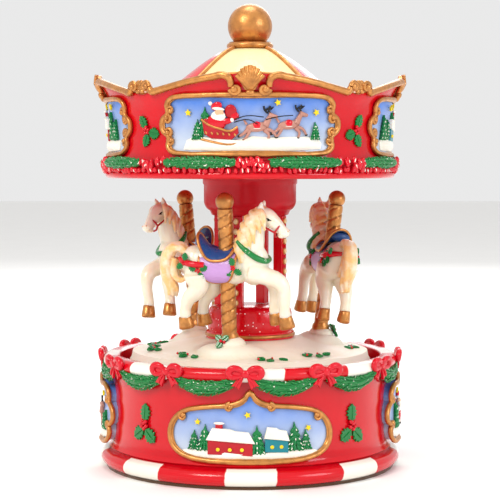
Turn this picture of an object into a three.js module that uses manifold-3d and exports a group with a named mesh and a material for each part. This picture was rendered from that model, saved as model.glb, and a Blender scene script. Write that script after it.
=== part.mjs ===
// Wind-up musical carousel: a round base that hides a spring-driven comb movement, and above it a snow deck,
// a column, a canopy and three horses that turn together. Millimetres, +Z up, origin on the floor under the
// centre of the base, front toward -Y.
import * as THREE from 'three';
import { mergeVertices } from 'three/addons/utils/BufferGeometryUtils.js';
import Module from 'manifold-3d';

const wasm = await Module();
wasm.setup();

// ---- Driving dimensions -------------------------------------------------------------------------------

// Clearances
const SEAT = 0.02;               // between faces that rest on each other
const FIT_GAP = 0.3;             // round a pin, screw or stem that stays still in its hole
const RUNNING_GAP = 0.2;         // round an arbor that turns in its hole
const TURNING_GAP = 0.8;         // between the flat of a turning piece and its still neighbour

// Base
const WALL_RADIUS = 48.5;        // outside of the base wall
const WALL_THICKNESS = 3;
const FELT_THICKNESS = 1;
const FOOT_HEIGHT = 8;           // foot bead and its ledge, above the felt
const FOOT_BEAD_RADIUS = 2.6;
const FOOT_REACH = 3.8;          // how far the foot bead stands out from the wall
const RIM_BEAD_RADIUS = 2.2;
const RIM_REACH = 2.8;           // how far the rim bead stands out from the wall
const RECESS_DEPTH = 10;         // from the floor up to the bottom cover
const COVER_THICKNESS = 2;
const RIM_HEIGHT = 5.5;          // rim bead and lip, above the deck's underside

// Movement
const BEDPLATE_THICKNESS = 1.5;
const BARREL_RADIUS = 12;
const BARREL_HEIGHT = 10.5;
const BARREL_WALL = 0.8;
const ARBOR_RADIUS = 1.5;
const RATCHET_RADIUS = 6.5;
const RATCHET_TEETH = 12;
const RATCHET_THICKNESS = 1.2;
const CROWN_TEETH = 48;
const CROWN_TOOTH_DEPTH = 1.5;
const CROWN_RADIUS = 15.3;       // outer ends of the crown teeth
const CROWN_FACE = 2.2;          // length of a crown tooth toward the axis
const PINION_TEETH = 16;
const CYLINDER_RADIUS = 5.6;
const CYLINDER_LENGTH = 14;
const CYLINDER_PIN_HEIGHT = 0.7;
const CYLINDER_PIN_COUNT = 36;
const CYLINDER_ARBOR_RADIUS = 0.9;
const COMB_TEETH = 18;
const COMB_THICKNESS = 0.9;
const COMB_LENGTH = 16;
const GREAT_WHEEL_TEETH = 40;
const TRAIN_MODULE = 0.3;
const TRAIN_WHEEL_THICKNESS = 1.2;
const FAN_PINION_TEETH = 8;
const WORM_WHEEL_TEETH = 20;
const WORM_WHEEL_MODULE = 0.32;
const WORM_STARTS = 2;
const WORM_PITCH_RADIUS = 1.3;
const FAN_RADIUS = 3.2;
const BRACKET_THICKNESS = 1.2;
const BRIDGE_THICKNESS = 1.3;
const SPINDLE_RADIUS = 2.5;
const DECK_ROOM = 4.7;            // from the bridge up to the deck
const SCREW_RADIUS = 1.3;
const SCREW_HEAD_RADIUS = 2.6;
const SCREW_HEAD_HEIGHT = 1.3;

// Turning deck and column
const DECK_GAP = 3.5;            // dark gap between the deck and the base wall
const DECK_EDGE = 4;
const DECK_RISE = 6.5;           // from the deck's edge up to the column seat
const DRUM_RADIUS = 14.9;
const DRUM_HEIGHT = 11;
const POST_HEIGHT = 31.5;
const POST_RADIUS = 12.8;
const POST_WIDTH = 4.3;
const POST_THICKNESS = 3.9;
const POST_COUNT = 4;
const POST_START_ANGLE = -22;
const CAPITAL_RADIUS = 16.1;
const CAPITAL_HEIGHT = 13;

// Canopy
const CANOPY_RADIUS = 49.7;      // plain band at the bottom of the canopy
const GARLAND_REACH = 1.3;
const SOFFIT_HEIGHT = 6;
const SOFFIT_THICKNESS = 2.5;
const FASCIA_HEIGHT = 21.4;      // at the dips between the shells
const CREST_HEIGHT = 7.6;        // shells above the dips
const FASCIA_WAIST = 1.2;        // how far the fascia draws in
const FASCIA_FLARE = 1.3;        // how far its top edge stands out at the dips
const CREST_FLARE = 3.6;         // and how much further at the shells
const FASCIA_THICKNESS = 3;
const ROOF_THICKNESS = 2;
const ROOF_BELL = 0.74;          // share of the slope that falls; the rest is level
const ROOF_DIP = 1;              // level part of the roof, below the fascia's dips
const ROOF_RISE = 17;            // from the dips up to the neck ring
const NECK_RADIUS = 8.1;
const NECK_HEIGHT = 2.6;
const FINIAL_RADIUS = 7.7;
const FINIAL_PEG_RADIUS = 1.5;

// Horses and poles
const HORSE_ANGLES = [-105, 17, 137];
const POLE_INSET = 16;           // from the deck's edge in to a pole's foot
const POLE_LEAN = 7.5;
const POLE_LENGTH = 47.8;
const POLE_RADIUS = 2.5;
const POLE_BALL_RADIUS = 3;
const POLE_KNOB_RADIUS = 2.9;
const MOUND_LENGTH = 13;
const MOUND_WIDTH = 8;
const MOUND_HEIGHT = 5;
const HORSE_RIDE = 7;            // lowest hoof above the pole's foot

// Winding key
const KEY_SPAN = 26;
const KEY_HEIGHT = 7;
const KEY_THICKNESS = 2;
const KEY_FLOOR_ROOM = 1.2;

// ---- Sizes that follow --------------------------------------------------------------------------------

const wallInside = WALL_RADIUS - WALL_THICKNESS;
const coverBottom = RECESS_DEPTH;
const coverTop = coverBottom + COVER_THICKNESS;
const bedBottom = coverTop + SEAT;
const bedTop = bedBottom + BEDPLATE_THICKNESS;
const ratchetBottom = bedTop + TURNING_GAP;
const barrelBottom = ratchetBottom + RATCHET_THICKNESS + TURNING_GAP;
const barrelTop = barrelBottom + BARREL_HEIGHT;
const crownFlange = 1;
const crownRoot = barrelTop - crownFlange;
const crownPitchRadius = CROWN_RADIUS - CROWN_FACE / 2;
const toothPitch = 2 * Math.PI * crownPitchRadius / CROWN_TEETH;
const pinionPitchRadius = PINION_TEETH * toothPitch / (2 * Math.PI);
const cylinderAxis = crownRoot - CROWN_TOOTH_DEPTH / 2 - pinionPitchRadius;
const bridgeBottom = barrelTop + TURNING_GAP;
const bridgeTop = bridgeBottom + BRIDGE_THICKNESS;
const deckBottom = bridgeTop + DECK_ROOM;
const rimTop = deckBottom + RIM_HEIGHT;
const deckRadius = wallInside - DECK_GAP;
const columnSeat = deckBottom + DECK_EDGE + DECK_RISE;
const drumTop = columnSeat + SEAT + DRUM_HEIGHT;
const postTop = drumTop + SEAT + POST_HEIGHT;
const capitalTop = postTop + SEAT + CAPITAL_HEIGHT;
const soffitBottom = capitalTop + SEAT;
const soffitTop = soffitBottom + SOFFIT_HEIGHT;
const fasciaBottom = soffitTop + SEAT;
const dipTop = fasciaBottom + FASCIA_HEIGHT;
const neckBottom = dipTop + ROOF_RISE;
const neckTop = neckBottom + NECK_HEIGHT;
const pinionStart = BARREL_RADIUS + 1;
const pinionEnd = CROWN_RADIUS + 0.1;
const innerBracketStart = pinionEnd + 0.4;
const cylinderStart = innerBracketStart + BRACKET_THICKNESS + 0.5;
const cylinderEnd = cylinderStart + CYLINDER_LENGTH;
const greatWheelStart = cylinderEnd + 0.4;
const outerBracketStart = greatWheelStart + TRAIN_WHEEL_THICKNESS + 0.5;
const outerBracketEnd = outerBracketStart + BRACKET_THICKNESS;
const fanPinionRadius = FAN_PINION_TEETH * TRAIN_MODULE / 2;
const greatWheelRadius = GREAT_WHEEL_TEETH * TRAIN_MODULE / 2;
const secondAxisY = greatWheelRadius + fanPinionRadius + 0.1;
const wormWheelRadius = WORM_WHEEL_TEETH * WORM_WHEEL_MODULE / 2;
const wormWheelStart = outerBracketEnd + 0.6;
const wormWheelThickness = 0.8;
const wormX = wormWheelStart + wormWheelThickness / 2;
const wormY = secondAxisY + wormWheelRadius + WORM_PITCH_RADIUS + 0.1;

// ---- Shape helpers ------------------------------------------------------------------------------------

const degrees = (angle) => angle * Math.PI / 180;

// Merge shared corners, drop flat triangles and make the faces point outward.
function closed(geometry) {
  const plain = geometry.clone();
  plain.deleteAttribute('normal');
  plain.deleteAttribute('uv');
  const merged = mergeVertices(plain, 1e-4);
  const position = merged.attributes.position;
  const corner = (index) => new THREE.Vector3().fromBufferAttribute(position, index);
  const triangles = [];
  let volume = 0;
  for (let i = 0; i < merged.index.count; i += 3) {
    const [a, b, c] = [0, 1, 2].map((step) => merged.index.getX(i + step));
    if (a === b || b === c || c === a) continue;
    triangles.push([a, b, c]);
    volume += corner(a).dot(corner(b).cross(corner(c)));
  }
  const order = volume < 0 ? ([a, b, c]) => [a, c, b] : (triangle) => triangle;
  merged.setIndex(triangles.flatMap(order));
  return merged;
}

function toSolid(geometry) {
  const shape = closed(geometry);
  const mesh = new wasm.Mesh({
    numProp: 3,
    vertProperties: new Float32Array(shape.attributes.position.array),
    triVerts: new Uint32Array(shape.index.array),
  });
  return new wasm.Manifold(mesh);
}

function toGeometry(solid) {
  const mesh = solid.getMesh();
  const geometry = new THREE.BufferGeometry();
  geometry.setAttribute('position', new THREE.BufferAttribute(new Float32Array(mesh.vertProperties), 3));
  geometry.setIndex(new THREE.BufferAttribute(new Uint32Array(mesh.triVerts), 1));
  return geometry;
}

function join(...geometries) {
  return toGeometry(geometries.map(toSolid).reduce((whole, next) => whole.add(next)));
}

function cut(geometry, ...tools) {
  return toGeometry(tools.map(toSolid).reduce((whole, next) => whole.subtract(next), toSolid(geometry)));
}

// A profile of [radius, height] pairs turned round Z. It starts and ends on the axis, or closes on itself.
function revolve(profile, segments = 44) {
  const points = profile.map(([radius, height]) => new THREE.Vector2(radius, height));
  return new THREE.LatheGeometry(points, segments).rotateX(Math.PI / 2);
}

function rod(radius, bottom, top, segments = 16) {
  return revolve([[0, bottom], [radius, bottom], [radius, top], [0, top]], segments);
}

function tube(inner, outer, bottom, top, segments = 44) {
  return revolve([[inner, bottom], [outer, bottom], [outer, top], [inner, top], [inner, bottom]], segments);
}

// Points of an arc in a profile, from one angle to another in degrees.
function arc(centreRadius, centreHeight, radius, from, to, steps) {
  return Array.from({ length: steps + 1 }, (unused, step) => {
    const angle = degrees(from + (to - from) * step / steps);
    return [centreRadius + radius * Math.cos(angle), centreHeight + radius * Math.sin(angle)];
  });
}

function extrude(shape, bottom, top, curveSegments = 8) {
  const options = { depth: top - bottom, bevelEnabled: false, curveSegments };
  return new THREE.ExtrudeGeometry(shape, options).translate(0, 0, bottom);
}

function box(from, to) {
  const size = to.map((value, axis) => value - from[axis]);
  const middle = to.map((value, axis) => (value + from[axis]) / 2);
  return new THREE.BoxGeometry(...size).translate(...middle);
}

// A flat plate with round holes through it, each given as [x, y, radius].
function drilledPlate(outline, bottom, top, holes) {
  const drills = holes.map(([x, y, radius]) => rod(radius, bottom - 1, top + 1, 12).translate(x, y, 0));
  return cut(extrude(outline, bottom, top, 6), ...drills);
}

// Rings of points, each joined to the next. The ends are capped, or the last ring meets the first.
function loft(rings, looped = false) {
  const count = rings[0].length;
  const points = rings.flat();
  const index = [];
  const last = looped ? rings.length : rings.length - 1;
  for (let ring = 0; ring < last; ring += 1) {
    for (let step = 0; step < count; step += 1) {
      const next = (step + 1) % count;
      const a = ring * count + step;
      const b = ring * count + next;
      const c = ((ring + 1) % rings.length) * count + next;
      const d = ((ring + 1) % rings.length) * count + step;
      index.push(a, b, c, a, c, d);
    }
  }
  if (!looped) {
    const end = (rings.length - 1) * count;
    for (let step = 1; step < count - 1; step += 1) {
      index.push(0, step + 1, step);
      index.push(end, end + step, end + step + 1);
    }
  }
  const geometry = new THREE.BufferGeometry().setFromPoints(points);
  geometry.setIndex(index);
  return geometry;
}

// A limb through stations of [x, y, z, half width, half depth], with oval sections across X and Y or Z.
function limb(stations, sides = 10) {
  const centres = stations.map(([x, y, z]) => new THREE.Vector3(x, y, z));
  const rings = stations.map(([, , , width, depth], at) => {
    const before = centres[Math.max(at - 1, 0)];
    const after = centres[Math.min(at + 1, centres.length - 1)];
    const along = after.clone().sub(before).normalize();
    const across = new THREE.Vector3(0, 1, 0).addScaledVector(along, -along.y).normalize();
    const up = new THREE.Vector3().crossVectors(along, across);
    return Array.from({ length: sides }, (unused, side) => {
      const angle = 2 * Math.PI * side / sides;
      return centres[at].clone()
        .addScaledVector(across, width * Math.cos(angle))
        .addScaledVector(up, depth * Math.sin(angle));
    });
  });
  return loft(rings);
}

// A gear outline round the origin, its first tooth toward +X, or its first gap when halfPitch is true.
function gearShape(teeth, pitchRadius, addendum, dedendum, toothShare, halfPitch = false) {
  const shape = new THREE.Shape();
  const pitch = 2 * Math.PI / teeth;
  const points = [];
  for (let tooth = 0; tooth < teeth; tooth += 1) {
    const middle = (tooth + (halfPitch ? 0.5 : 0)) * pitch;
    const corners = [[-1.25, -dedendum], [-0.6, addendum], [0.6, addendum], [1.25, -dedendum]];
    for (const [side, height] of corners) {
      const angle = middle + side * pitch * toothShare / 2;
      const radius = pitchRadius + height;
      points.push(new THREE.Vector2(radius * Math.cos(angle), radius * Math.sin(angle)));
    }
  }
  return shape.setFromPoints(points);
}

// Stand a piece made round Z on the X axis, its bottom at the given x.
function alongX(geometry, x, y, z) {
  return geometry.rotateZ(Math.PI / 2).rotateX(Math.PI / 2).rotateZ(Math.PI / 2).translate(x, y, z);
}

const carouselBox = new THREE.Group();

function add(name, geometry, colour, roughness = 0.4, metalness = 0) {
  const material = new THREE.MeshStandardMaterial({ color: colour, roughness, metalness });
  const mesh = new THREE.Mesh(closed(geometry), material);
  mesh.name = name;
  carouselBox.add(mesh);
}

const RED = '#c21020';
const CREAM = '#f3ead0';
const GOLD = '#b98a3c';
const SNOW = '#f5f5f0';
const IVORY = '#efe6cf';
const BRASS = '#c9a65a';
const STEEL = '#9a9da1';
const FELT = '#6b4a2e';

// ---- Base ---------------------------------------------------------------------------------------------

const screwRing = (count, start, radius) => Array.from({ length: count }, (unused, step) => {
  const angle = degrees(start + 360 * step / count);
  return [radius * Math.cos(angle), radius * Math.sin(angle)];
});
const bossRadius = 3.4;
const coverScrews = screwRing(3, 70, wallInside - bossRadius - 0.4);
const movementScrews = [[-13, -15], [-13, 13], [27, 13.5]];
const bossHeight = 7;

function baseShell() {
  const footTop = FELT_THICKNESS + FOOT_HEIGHT;
  const beadCentre = WALL_RADIUS + FOOT_REACH - FOOT_BEAD_RADIUS;
  const rimCentre = WALL_RADIUS + RIM_REACH - RIM_BEAD_RADIUS;
  const rimMiddle = rimTop - RIM_BEAD_RADIUS;
  const profile = [
    [wallInside, FELT_THICKNESS],
    ...arc(beadCentre, FELT_THICKNESS + FOOT_BEAD_RADIUS, FOOT_BEAD_RADIUS, -90, 90, 5),
    [beadCentre - 0.6, footTop - 2],
    [WALL_RADIUS + 0.4, footTop - 1.2],
    [WALL_RADIUS, footTop],
    [WALL_RADIUS - 0.7, (footTop + rimMiddle) / 2],
    [WALL_RADIUS - 0.4, rimMiddle - RIM_BEAD_RADIUS],
    ...arc(rimCentre, rimMiddle, RIM_BEAD_RADIUS, -90, 110, 5),
    [wallInside, rimTop - 1.2],
    [wallInside, FELT_THICKNESS],
  ];
  const bosses = coverScrews.map(([x, y]) => rod(bossRadius, coverTop + SEAT, coverTop + bossHeight)
    .translate(x, y, 0));
  const webs = coverScrews.map(([x, y]) => box([0, -1.2, coverTop + SEAT], [5, 1.2, coverTop + bossHeight])
    .rotateZ(Math.atan2(y, x)).translate(x, y, 0));
  const holes = coverScrews.map(([x, y]) => rod(SCREW_RADIUS + FIT_GAP, coverTop - 1, coverTop + 6, 12)
    .translate(x, y, 0));
  return cut(join(revolve(profile), ...bosses, ...webs), ...holes);
}

function screw(x, y, underHead, length, facingUp = false) {
  const side = facingUp ? -1 : 1;
  const profile = [
    [0, underHead - side * SCREW_HEAD_HEIGHT],
    [SCREW_HEAD_RADIUS * 0.75, underHead - side * SCREW_HEAD_HEIGHT],
    [SCREW_HEAD_RADIUS, underHead - side * SCREW_HEAD_HEIGHT * 0.4],
    [SCREW_HEAD_RADIUS, underHead - side * SEAT],
    [SCREW_RADIUS, underHead - side * SEAT],
    [SCREW_RADIUS, underHead + side * length],
    [0, underHead + side * length],
  ];
  return revolve(profile, 12).translate(x, y, 0);
}

add('base_shell', baseShell(), RED, 0.25);
const feltOuter = WALL_RADIUS + FOOT_REACH - FOOT_BEAD_RADIUS + 0.6;
add('felt_foot_ring', tube(wallInside - 0.5, feltOuter, 0, FELT_THICKNESS - SEAT), FELT, 0.95);

function baseCover() {
  const disc = tube(ARBOR_RADIUS + FIT_GAP, wallInside - FIT_GAP, coverBottom, coverTop);
  const holes = [...coverScrews, ...movementScrews].map(([x, y]) => (
    rod(SCREW_RADIUS + FIT_GAP, coverBottom - 1, coverTop + 1, 12).translate(x, y, 0)));
  return cut(disc, ...holes);
}

add('base_cover', baseCover(), '#2b2b2d', 0.6);
coverScrews.forEach(([x, y], at) => {
  add(`cover_screw_${at + 1}`, screw(x, y, coverBottom, COVER_THICKNESS + 5), STEEL, 0.3, 1);
});
movementScrews.forEach(([x, y], at) => {
  const length = COVER_THICKNESS + BEDPLATE_THICKNESS - 0.3;
  add(`movement_screw_${at + 1}`, screw(x, y, coverBottom, length), STEEL, 0.3, 1);
});

// ---- Movement: plates and brackets --------------------------------------------------------------------

const combTip = -(CYLINDER_RADIUS + CYLINDER_PIN_HEIGHT + 0.25);
const combBack = combTip - COMB_LENGTH;
const combBottom = cylinderAxis - COMB_THICKNESS / 2;
const combTrack = (CYLINDER_LENGTH - 1) / COMB_TEETH;
const combStart = cylinderStart + 0.5;
const combScrews = [[combStart + 3, combBack + 3.2], [combStart + CYLINDER_LENGTH - 4, combBack + 3.2]];

const pillarSpread = CROWN_RADIUS + 3.2;
const pillarRadius = 1.9;
const clickPivot = [-RATCHET_RADIUS - 2.4, -4.4];

const fanSupportStart = wormX + FAN_RADIUS + 0.5;
const bedReach = fanSupportStart + BRACKET_THICKNESS + 0.4;

function bedplate() {
  const left = -18;
  const near = combBack - 2;
  const far = pillarSpread + 4;
  const corners = [[left, near], [cylinderEnd, near], [bedReach, near + 18], [bedReach, wormY + 2.5],
    [cylinderEnd - 4, far], [left, far]];
  const outline = new THREE.Shape().setFromPoints(corners.map(([x, y]) => new THREE.Vector2(x, y)));
  const holes = [[0, 0, ARBOR_RADIUS + RUNNING_GAP]];
  holes.push(...movementScrews.map(([x, y]) => [x, y, SCREW_RADIUS + FIT_GAP]));
  return drilledPlate(outline, bedBottom, bedTop, holes);
}

function barrelPillar(side) {
  const profile = [
    [0, bedTop + SEAT],
    [pillarRadius, bedTop + SEAT],
    [pillarRadius, bridgeBottom - SEAT],
    [1, bridgeBottom - SEAT],
    [1, bridgeTop + 0.4],
    [0, bridgeTop + 0.4],
  ];
  return revolve(profile, 16).translate(0, side * pillarSpread, 0);
}

function barrelBridge() {
  const half = 4.5;
  const outline = new THREE.Shape();
  outline.absarc(0, pillarSpread, half, 0, Math.PI, false);
  outline.absarc(0, -pillarSpread, half, Math.PI, 2 * Math.PI, false);
  const holes = [[0, 0, SPINDLE_RADIUS + RUNNING_GAP]];
  holes.push([0, pillarSpread, 1 + FIT_GAP], [0, -pillarSpread, 1 + FIT_GAP]);
  return drilledPlate(outline, bridgeBottom, bridgeTop, holes);
}

// An upright plate across X with a hole for each arbor, given as [y, z, radius].
function uprightBracket(start, halfWidth, farWidth, arbors) {
  const top = cylinderAxis + 3;
  const outline = new THREE.Shape();
  outline.moveTo(-halfWidth, bedTop + SEAT);
  outline.lineTo(farWidth, bedTop + SEAT);
  outline.lineTo(farWidth, top);
  outline.lineTo(-halfWidth, top);
  const holes = arbors.map(([y, z, radius]) => [y, z, radius + RUNNING_GAP]);
  const plate = drilledPlate(outline, 0, BRACKET_THICKNESS, holes);
  return plate.rotateX(Math.PI / 2).rotateZ(Math.PI / 2).translate(start, 0, 0);
}

add('movement_bedplate', bedplate(), BRASS, 0.35, 1);
add('barrel_pillar_1', barrelPillar(1), BRASS, 0.3, 1);
add('barrel_pillar_2', barrelPillar(-1), BRASS, 0.3, 1);
add('barrel_bridge', barrelBridge(), BRASS, 0.35, 1);
const cylinderBearing = [0, cylinderAxis, CYLINDER_ARBOR_RADIUS];
const secondArborRadius = 0.5;
const secondBearing = [secondAxisY, cylinderAxis, secondArborRadius];
add('inner_bearing', uprightBracket(innerBracketStart, 4, 4, [cylinderBearing]), BRASS, 0.35, 1);
add('outer_bearing', uprightBracket(outerBracketStart, 4, secondAxisY + 2, [cylinderBearing, secondBearing]),
  BRASS, 0.35, 1);

// ---- Tone comb ----------------------------------------------------------------------------------------

function toneComb() {
  const outline = new THREE.Shape();
  const gap = combTrack * 0.35;
  outline.moveTo(combStart, combBack);
  outline.lineTo(combStart, combTip);
  for (let tooth = 0; tooth < COMB_TEETH; tooth += 1) {
    const left = combStart + tooth * combTrack;
    const right = left + combTrack - gap;
    const root = combTip - COMB_LENGTH * (0.62 - 0.32 * tooth / (COMB_TEETH - 1));
    if (tooth > 0) outline.lineTo(left, combTip);
    outline.lineTo(right, combTip);
    if (tooth < COMB_TEETH - 1) outline.lineTo(right, root).lineTo(left + combTrack, root);
  }
  outline.lineTo(combStart + COMB_TEETH * combTrack - gap, combBack);
  const holes = combScrews.map(([x, y]) => [x, y, SCREW_RADIUS + FIT_GAP]);
  return drilledPlate(outline, combBottom, combBottom + COMB_THICKNESS, holes);
}

function combBlock() {
  const end = combStart + CYLINDER_LENGTH - 1;
  const block = box([combStart, combBack, bedTop + SEAT], [end, combBack + 5.4, combBottom - SEAT]);
  const holes = combScrews.map(([x, y]) => rod(SCREW_RADIUS + FIT_GAP, bedTop + 2, combBottom + 1, 12)
    .translate(x, y, 0));
  return cut(block, ...holes);
}

add('tone_comb', toneComb(), STEEL, 0.25, 1);
add('comb_block', combBlock(), BRASS, 0.5, 1);
combScrews.forEach(([x, y], at) => {
  const length = COMB_THICKNESS + 3;
  add(`comb_screw_${at + 1}`, screw(x, y, combBottom + COMB_THICKNESS, length, true), STEEL, 0.3, 1);
});

// ---- Winding parts ------------------------------------------------------------------------------------

function windingKey() {
  const top = coverBottom - TURNING_GAP;
  const bottom = KEY_FLOOR_ROOM;
  const hub = tube(ARBOR_RADIUS + FIT_GAP, 3.2, bottom + 1, top, 24);
  const wingMiddle = (bottom + bottom + KEY_HEIGHT) / 2;
  const wing = (side) => {
    const outline = new THREE.Shape();
    outline.moveTo(side * 2.4, -1.6);
    outline.quadraticCurveTo(side * 5, -KEY_HEIGHT / 2, side * (KEY_SPAN / 2 - 3.5), -KEY_HEIGHT / 2);
    outline.absarc(side * (KEY_SPAN / 2 - KEY_HEIGHT / 2), 0, KEY_HEIGHT / 2, -Math.PI / 2, Math.PI / 2, side < 0);
    outline.quadraticCurveTo(side * 5, KEY_HEIGHT / 2, side * 2.4, 1.6);
    const plate = extrude(outline, -KEY_THICKNESS / 2, KEY_THICKNESS / 2);
    return plate.rotateX(Math.PI / 2).translate(0, 0, wingMiddle);
  };
  return join(hub, wing(1), wing(-1));
}

function windingArbor() {
  const profile = [
    [0, KEY_FLOOR_ROOM + 0.6],
    [ARBOR_RADIUS, KEY_FLOOR_ROOM + 0.6],
    [ARBOR_RADIUS, barrelTop - 2.4],
    [0, barrelTop - 2.4],
  ];
  return revolve(profile, 20);
}

function ratchetWheel() {
  const outline = new THREE.Shape();
  const pitch = 2 * Math.PI / RATCHET_TEETH;
  const points = [];
  for (let tooth = 0; tooth < RATCHET_TEETH; tooth += 1) {
    const angle = tooth * pitch;
    points.push(new THREE.Vector2(RATCHET_RADIUS * Math.cos(angle), RATCHET_RADIUS * Math.sin(angle)));
    const root = RATCHET_RADIUS - 1.4;
    points.push(new THREE.Vector2(root * Math.cos(angle + 0.04), root * Math.sin(angle + 0.04)));
  }
  outline.setFromPoints(points);
  const holes = [[0, 0, ARBOR_RADIUS + FIT_GAP]];
  return drilledPlate(outline, ratchetBottom, ratchetBottom + RATCHET_THICKNESS, holes);
}

// The click's hook lies just clear of the ratchet's tips and drops between two teeth.
function clickPawl() {
  const [x, y] = clickPivot;
  const tip = [-(RATCHET_RADIUS + 0.3), 2.2];
  const outline = new THREE.Shape();
  outline.moveTo(x + 1.7, y);
  outline.quadraticCurveTo(x + 1.2, y + 3, tip[0] - 1.1, tip[1] - 1.2);
  outline.lineTo(tip[0], tip[1]);
  outline.lineTo(tip[0] - 0.7, tip[1] + 0.5);
  outline.quadraticCurveTo(x - 0.9, y + 4, x - 1.7, y);
  outline.absarc(x, y, 1.7, Math.PI, 2 * Math.PI, false);
  const holes = [[x, y, 0.8 + RUNNING_GAP]];
  return drilledPlate(outline, ratchetBottom, ratchetBottom + RATCHET_THICKNESS, holes);
}

// A leaf spring behind the click, folded up from a foot on the bedplate.
function clickSpring() {
  const [x, y] = clickPivot;
  const top = ratchetBottom + RATCHET_THICKNESS;
  const leaf = box([x - 2.5, y + 1, ratchetBottom], [x - 2.1, y + 9.5, top]);
  const foot = box([x - 3.5, y + 8, bedTop + SEAT], [x - 0.5, y + 11, top]);
  return join(leaf, foot);
}

add('winding_key', windingKey(), BRASS, 0.3, 1);
add('winding_arbor', windingArbor(), STEEL, 0.3, 1);
add('ratchet_wheel', ratchetWheel(), STEEL, 0.35, 1);
add('click_pawl', clickPawl(), STEEL, 0.35, 1);
const clickPin = revolve([
  [0, bedTop + SEAT], [0.8, bedTop + SEAT], [0.8, barrelBottom - 0.5], [0, barrelBottom - 0.5],
], 12);
add('click_spring', clickSpring(), STEEL, 0.35, 1);
add('click_pin', clickPin.translate(clickPivot[0], clickPivot[1], 0), STEEL, 0.35, 1);

// ---- Spring barrel and spindle ------------------------------------------------------------------------

function springBarrel() {
  const inner = BARREL_RADIUS - BARREL_WALL;
  const cup = revolve([
    [0, crownRoot],
    [inner, crownRoot],
    [inner, barrelBottom],
    [BARREL_RADIUS, barrelBottom],
    [BARREL_RADIUS, crownRoot],
    [CROWN_RADIUS, crownRoot],
    [CROWN_RADIUS, barrelTop],
    [0, barrelTop],
  ], 48);
  const pitch = 2 * Math.PI / CROWN_TEETH;
  const half = toothPitch * 0.15;
  const wide = toothPitch * 0.24;
  const teeth = Array.from({ length: CROWN_TEETH }, (unused, tooth) => {
    const outline = new THREE.Shape();
    outline.moveTo(-wide, 0.3);
    outline.lineTo(-wide, 0);
    outline.lineTo(-half, -CROWN_TOOTH_DEPTH);
    outline.lineTo(half, -CROWN_TOOTH_DEPTH);
    outline.lineTo(wide, 0);
    outline.lineTo(wide, 0.3);
    const piece = extrude(outline, 0, CROWN_FACE - 0.1).rotateX(Math.PI / 2).rotateZ(Math.PI / 2);
    return piece.translate(CROWN_RADIUS - CROWN_FACE, 0, crownRoot).rotateZ((tooth + 0.5) * pitch);
  });
  return join(cup, ...teeth);
}

function mainspring() {
  const turns = 4;
  const steps = turns * 16;
  const from = ARBOR_RADIUS + 1.6;
  const to = BARREL_RADIUS - BARREL_WALL - 0.8;
  const [low, high] = [barrelBottom + 1.8, crownRoot - 1];
  const rings = Array.from({ length: steps + 1 }, (unused, step) => {
    const angle = 2 * Math.PI * turns * step / steps;
    const middle = from + (to - from) * step / steps;
    return [[middle - 0.2, low], [middle + 0.2, low], [middle + 0.2, high], [middle - 0.2, high]]
      .map(([radius, z]) => new THREE.Vector3(radius * Math.cos(angle), radius * Math.sin(angle), z));
  });
  return loft(rings);
}

function driveSpindle() {
  return revolve([
    [0, barrelTop + SEAT],
    [SPINDLE_RADIUS + 0.3, barrelTop + SEAT],
    [SPINDLE_RADIUS, barrelTop + SEAT + 0.4],
    [SPINDLE_RADIUS, deckBottom - 1.6],
    [SPINDLE_RADIUS + 2.5, deckBottom - 1.6],
    [SPINDLE_RADIUS + 2.5, deckBottom - SEAT],
    [SPINDLE_RADIUS, deckBottom - SEAT],
    [SPINDLE_RADIUS, columnSeat + 3.4],
    [0, columnSeat + 3.4],
  ], 20);
}

add('spring_barrel', springBarrel(), BRASS, 0.3, 1);
add('barrel_lid', tube(ARBOR_RADIUS + RUNNING_GAP, BARREL_RADIUS - BARREL_WALL - FIT_GAP,
  barrelBottom + 0.2, barrelBottom + 1, 32), BRASS, 0.3, 1);
add('mainspring', mainspring(), STEEL, 0.3, 1);
add('drive_spindle', driveSpindle(), STEEL, 0.3, 1);
const hubNut = new THREE.Shape().setFromPoints(Array.from({ length: 6 }, (unused, side) => (
  new THREE.Vector2(4.4 * Math.cos(side * Math.PI / 3), 4.4 * Math.sin(side * Math.PI / 3)))));
add('hub_nut', drilledPlate(hubNut, columnSeat + SEAT, columnSeat + 2.4,
  [[0, 0, SPINDLE_RADIUS + FIT_GAP]]), STEEL, 0.35, 1);

// ---- Cylinder and its wheels --------------------------------------------------------------------------

function melodyCylinder() {
  const drum = alongX(tube(CYLINDER_ARBOR_RADIUS + FIT_GAP, CYLINDER_RADIUS, 0, CYLINDER_LENGTH, 32),
    cylinderStart, 0, 0);
  const pins = Array.from({ length: CYLINDER_PIN_COUNT }, (unused, at) => {
    const track = (at * 7) % COMB_TEETH;
    const x = combStart + (track + 0.32) * combTrack;
    const pin = box([x - 0.2, -0.2, CYLINDER_RADIUS - 0.5], [x + 0.2, 0.2, CYLINDER_RADIUS + CYLINDER_PIN_HEIGHT]);
    return pin.rotateX(2 * Math.PI * at / CYLINDER_PIN_COUNT);
  });
  return join(drum, ...pins).translate(0, 0, cylinderAxis);
}

function wheelOnX(outline, boreRadius, start, thickness, y) {
  const wheel = drilledPlate(outline, 0, thickness, [[0, 0, boreRadius + FIT_GAP]]);
  return alongX(wheel, start, y, cylinderAxis);
}

const pinionOutline = gearShape(PINION_TEETH, pinionPitchRadius, 0.5, 1.0, 0.33);
const greatOutline = gearShape(GREAT_WHEEL_TEETH, greatWheelRadius, 0.28, 0.4, 0.36);
const fanPinionOutline = gearShape(FAN_PINION_TEETH, fanPinionRadius, 0.26, 0.42, 0.34, true);
const wormWheelOutline = gearShape(WORM_WHEEL_TEETH, wormWheelRadius, 0.28, 0.45, 0.34);

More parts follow.
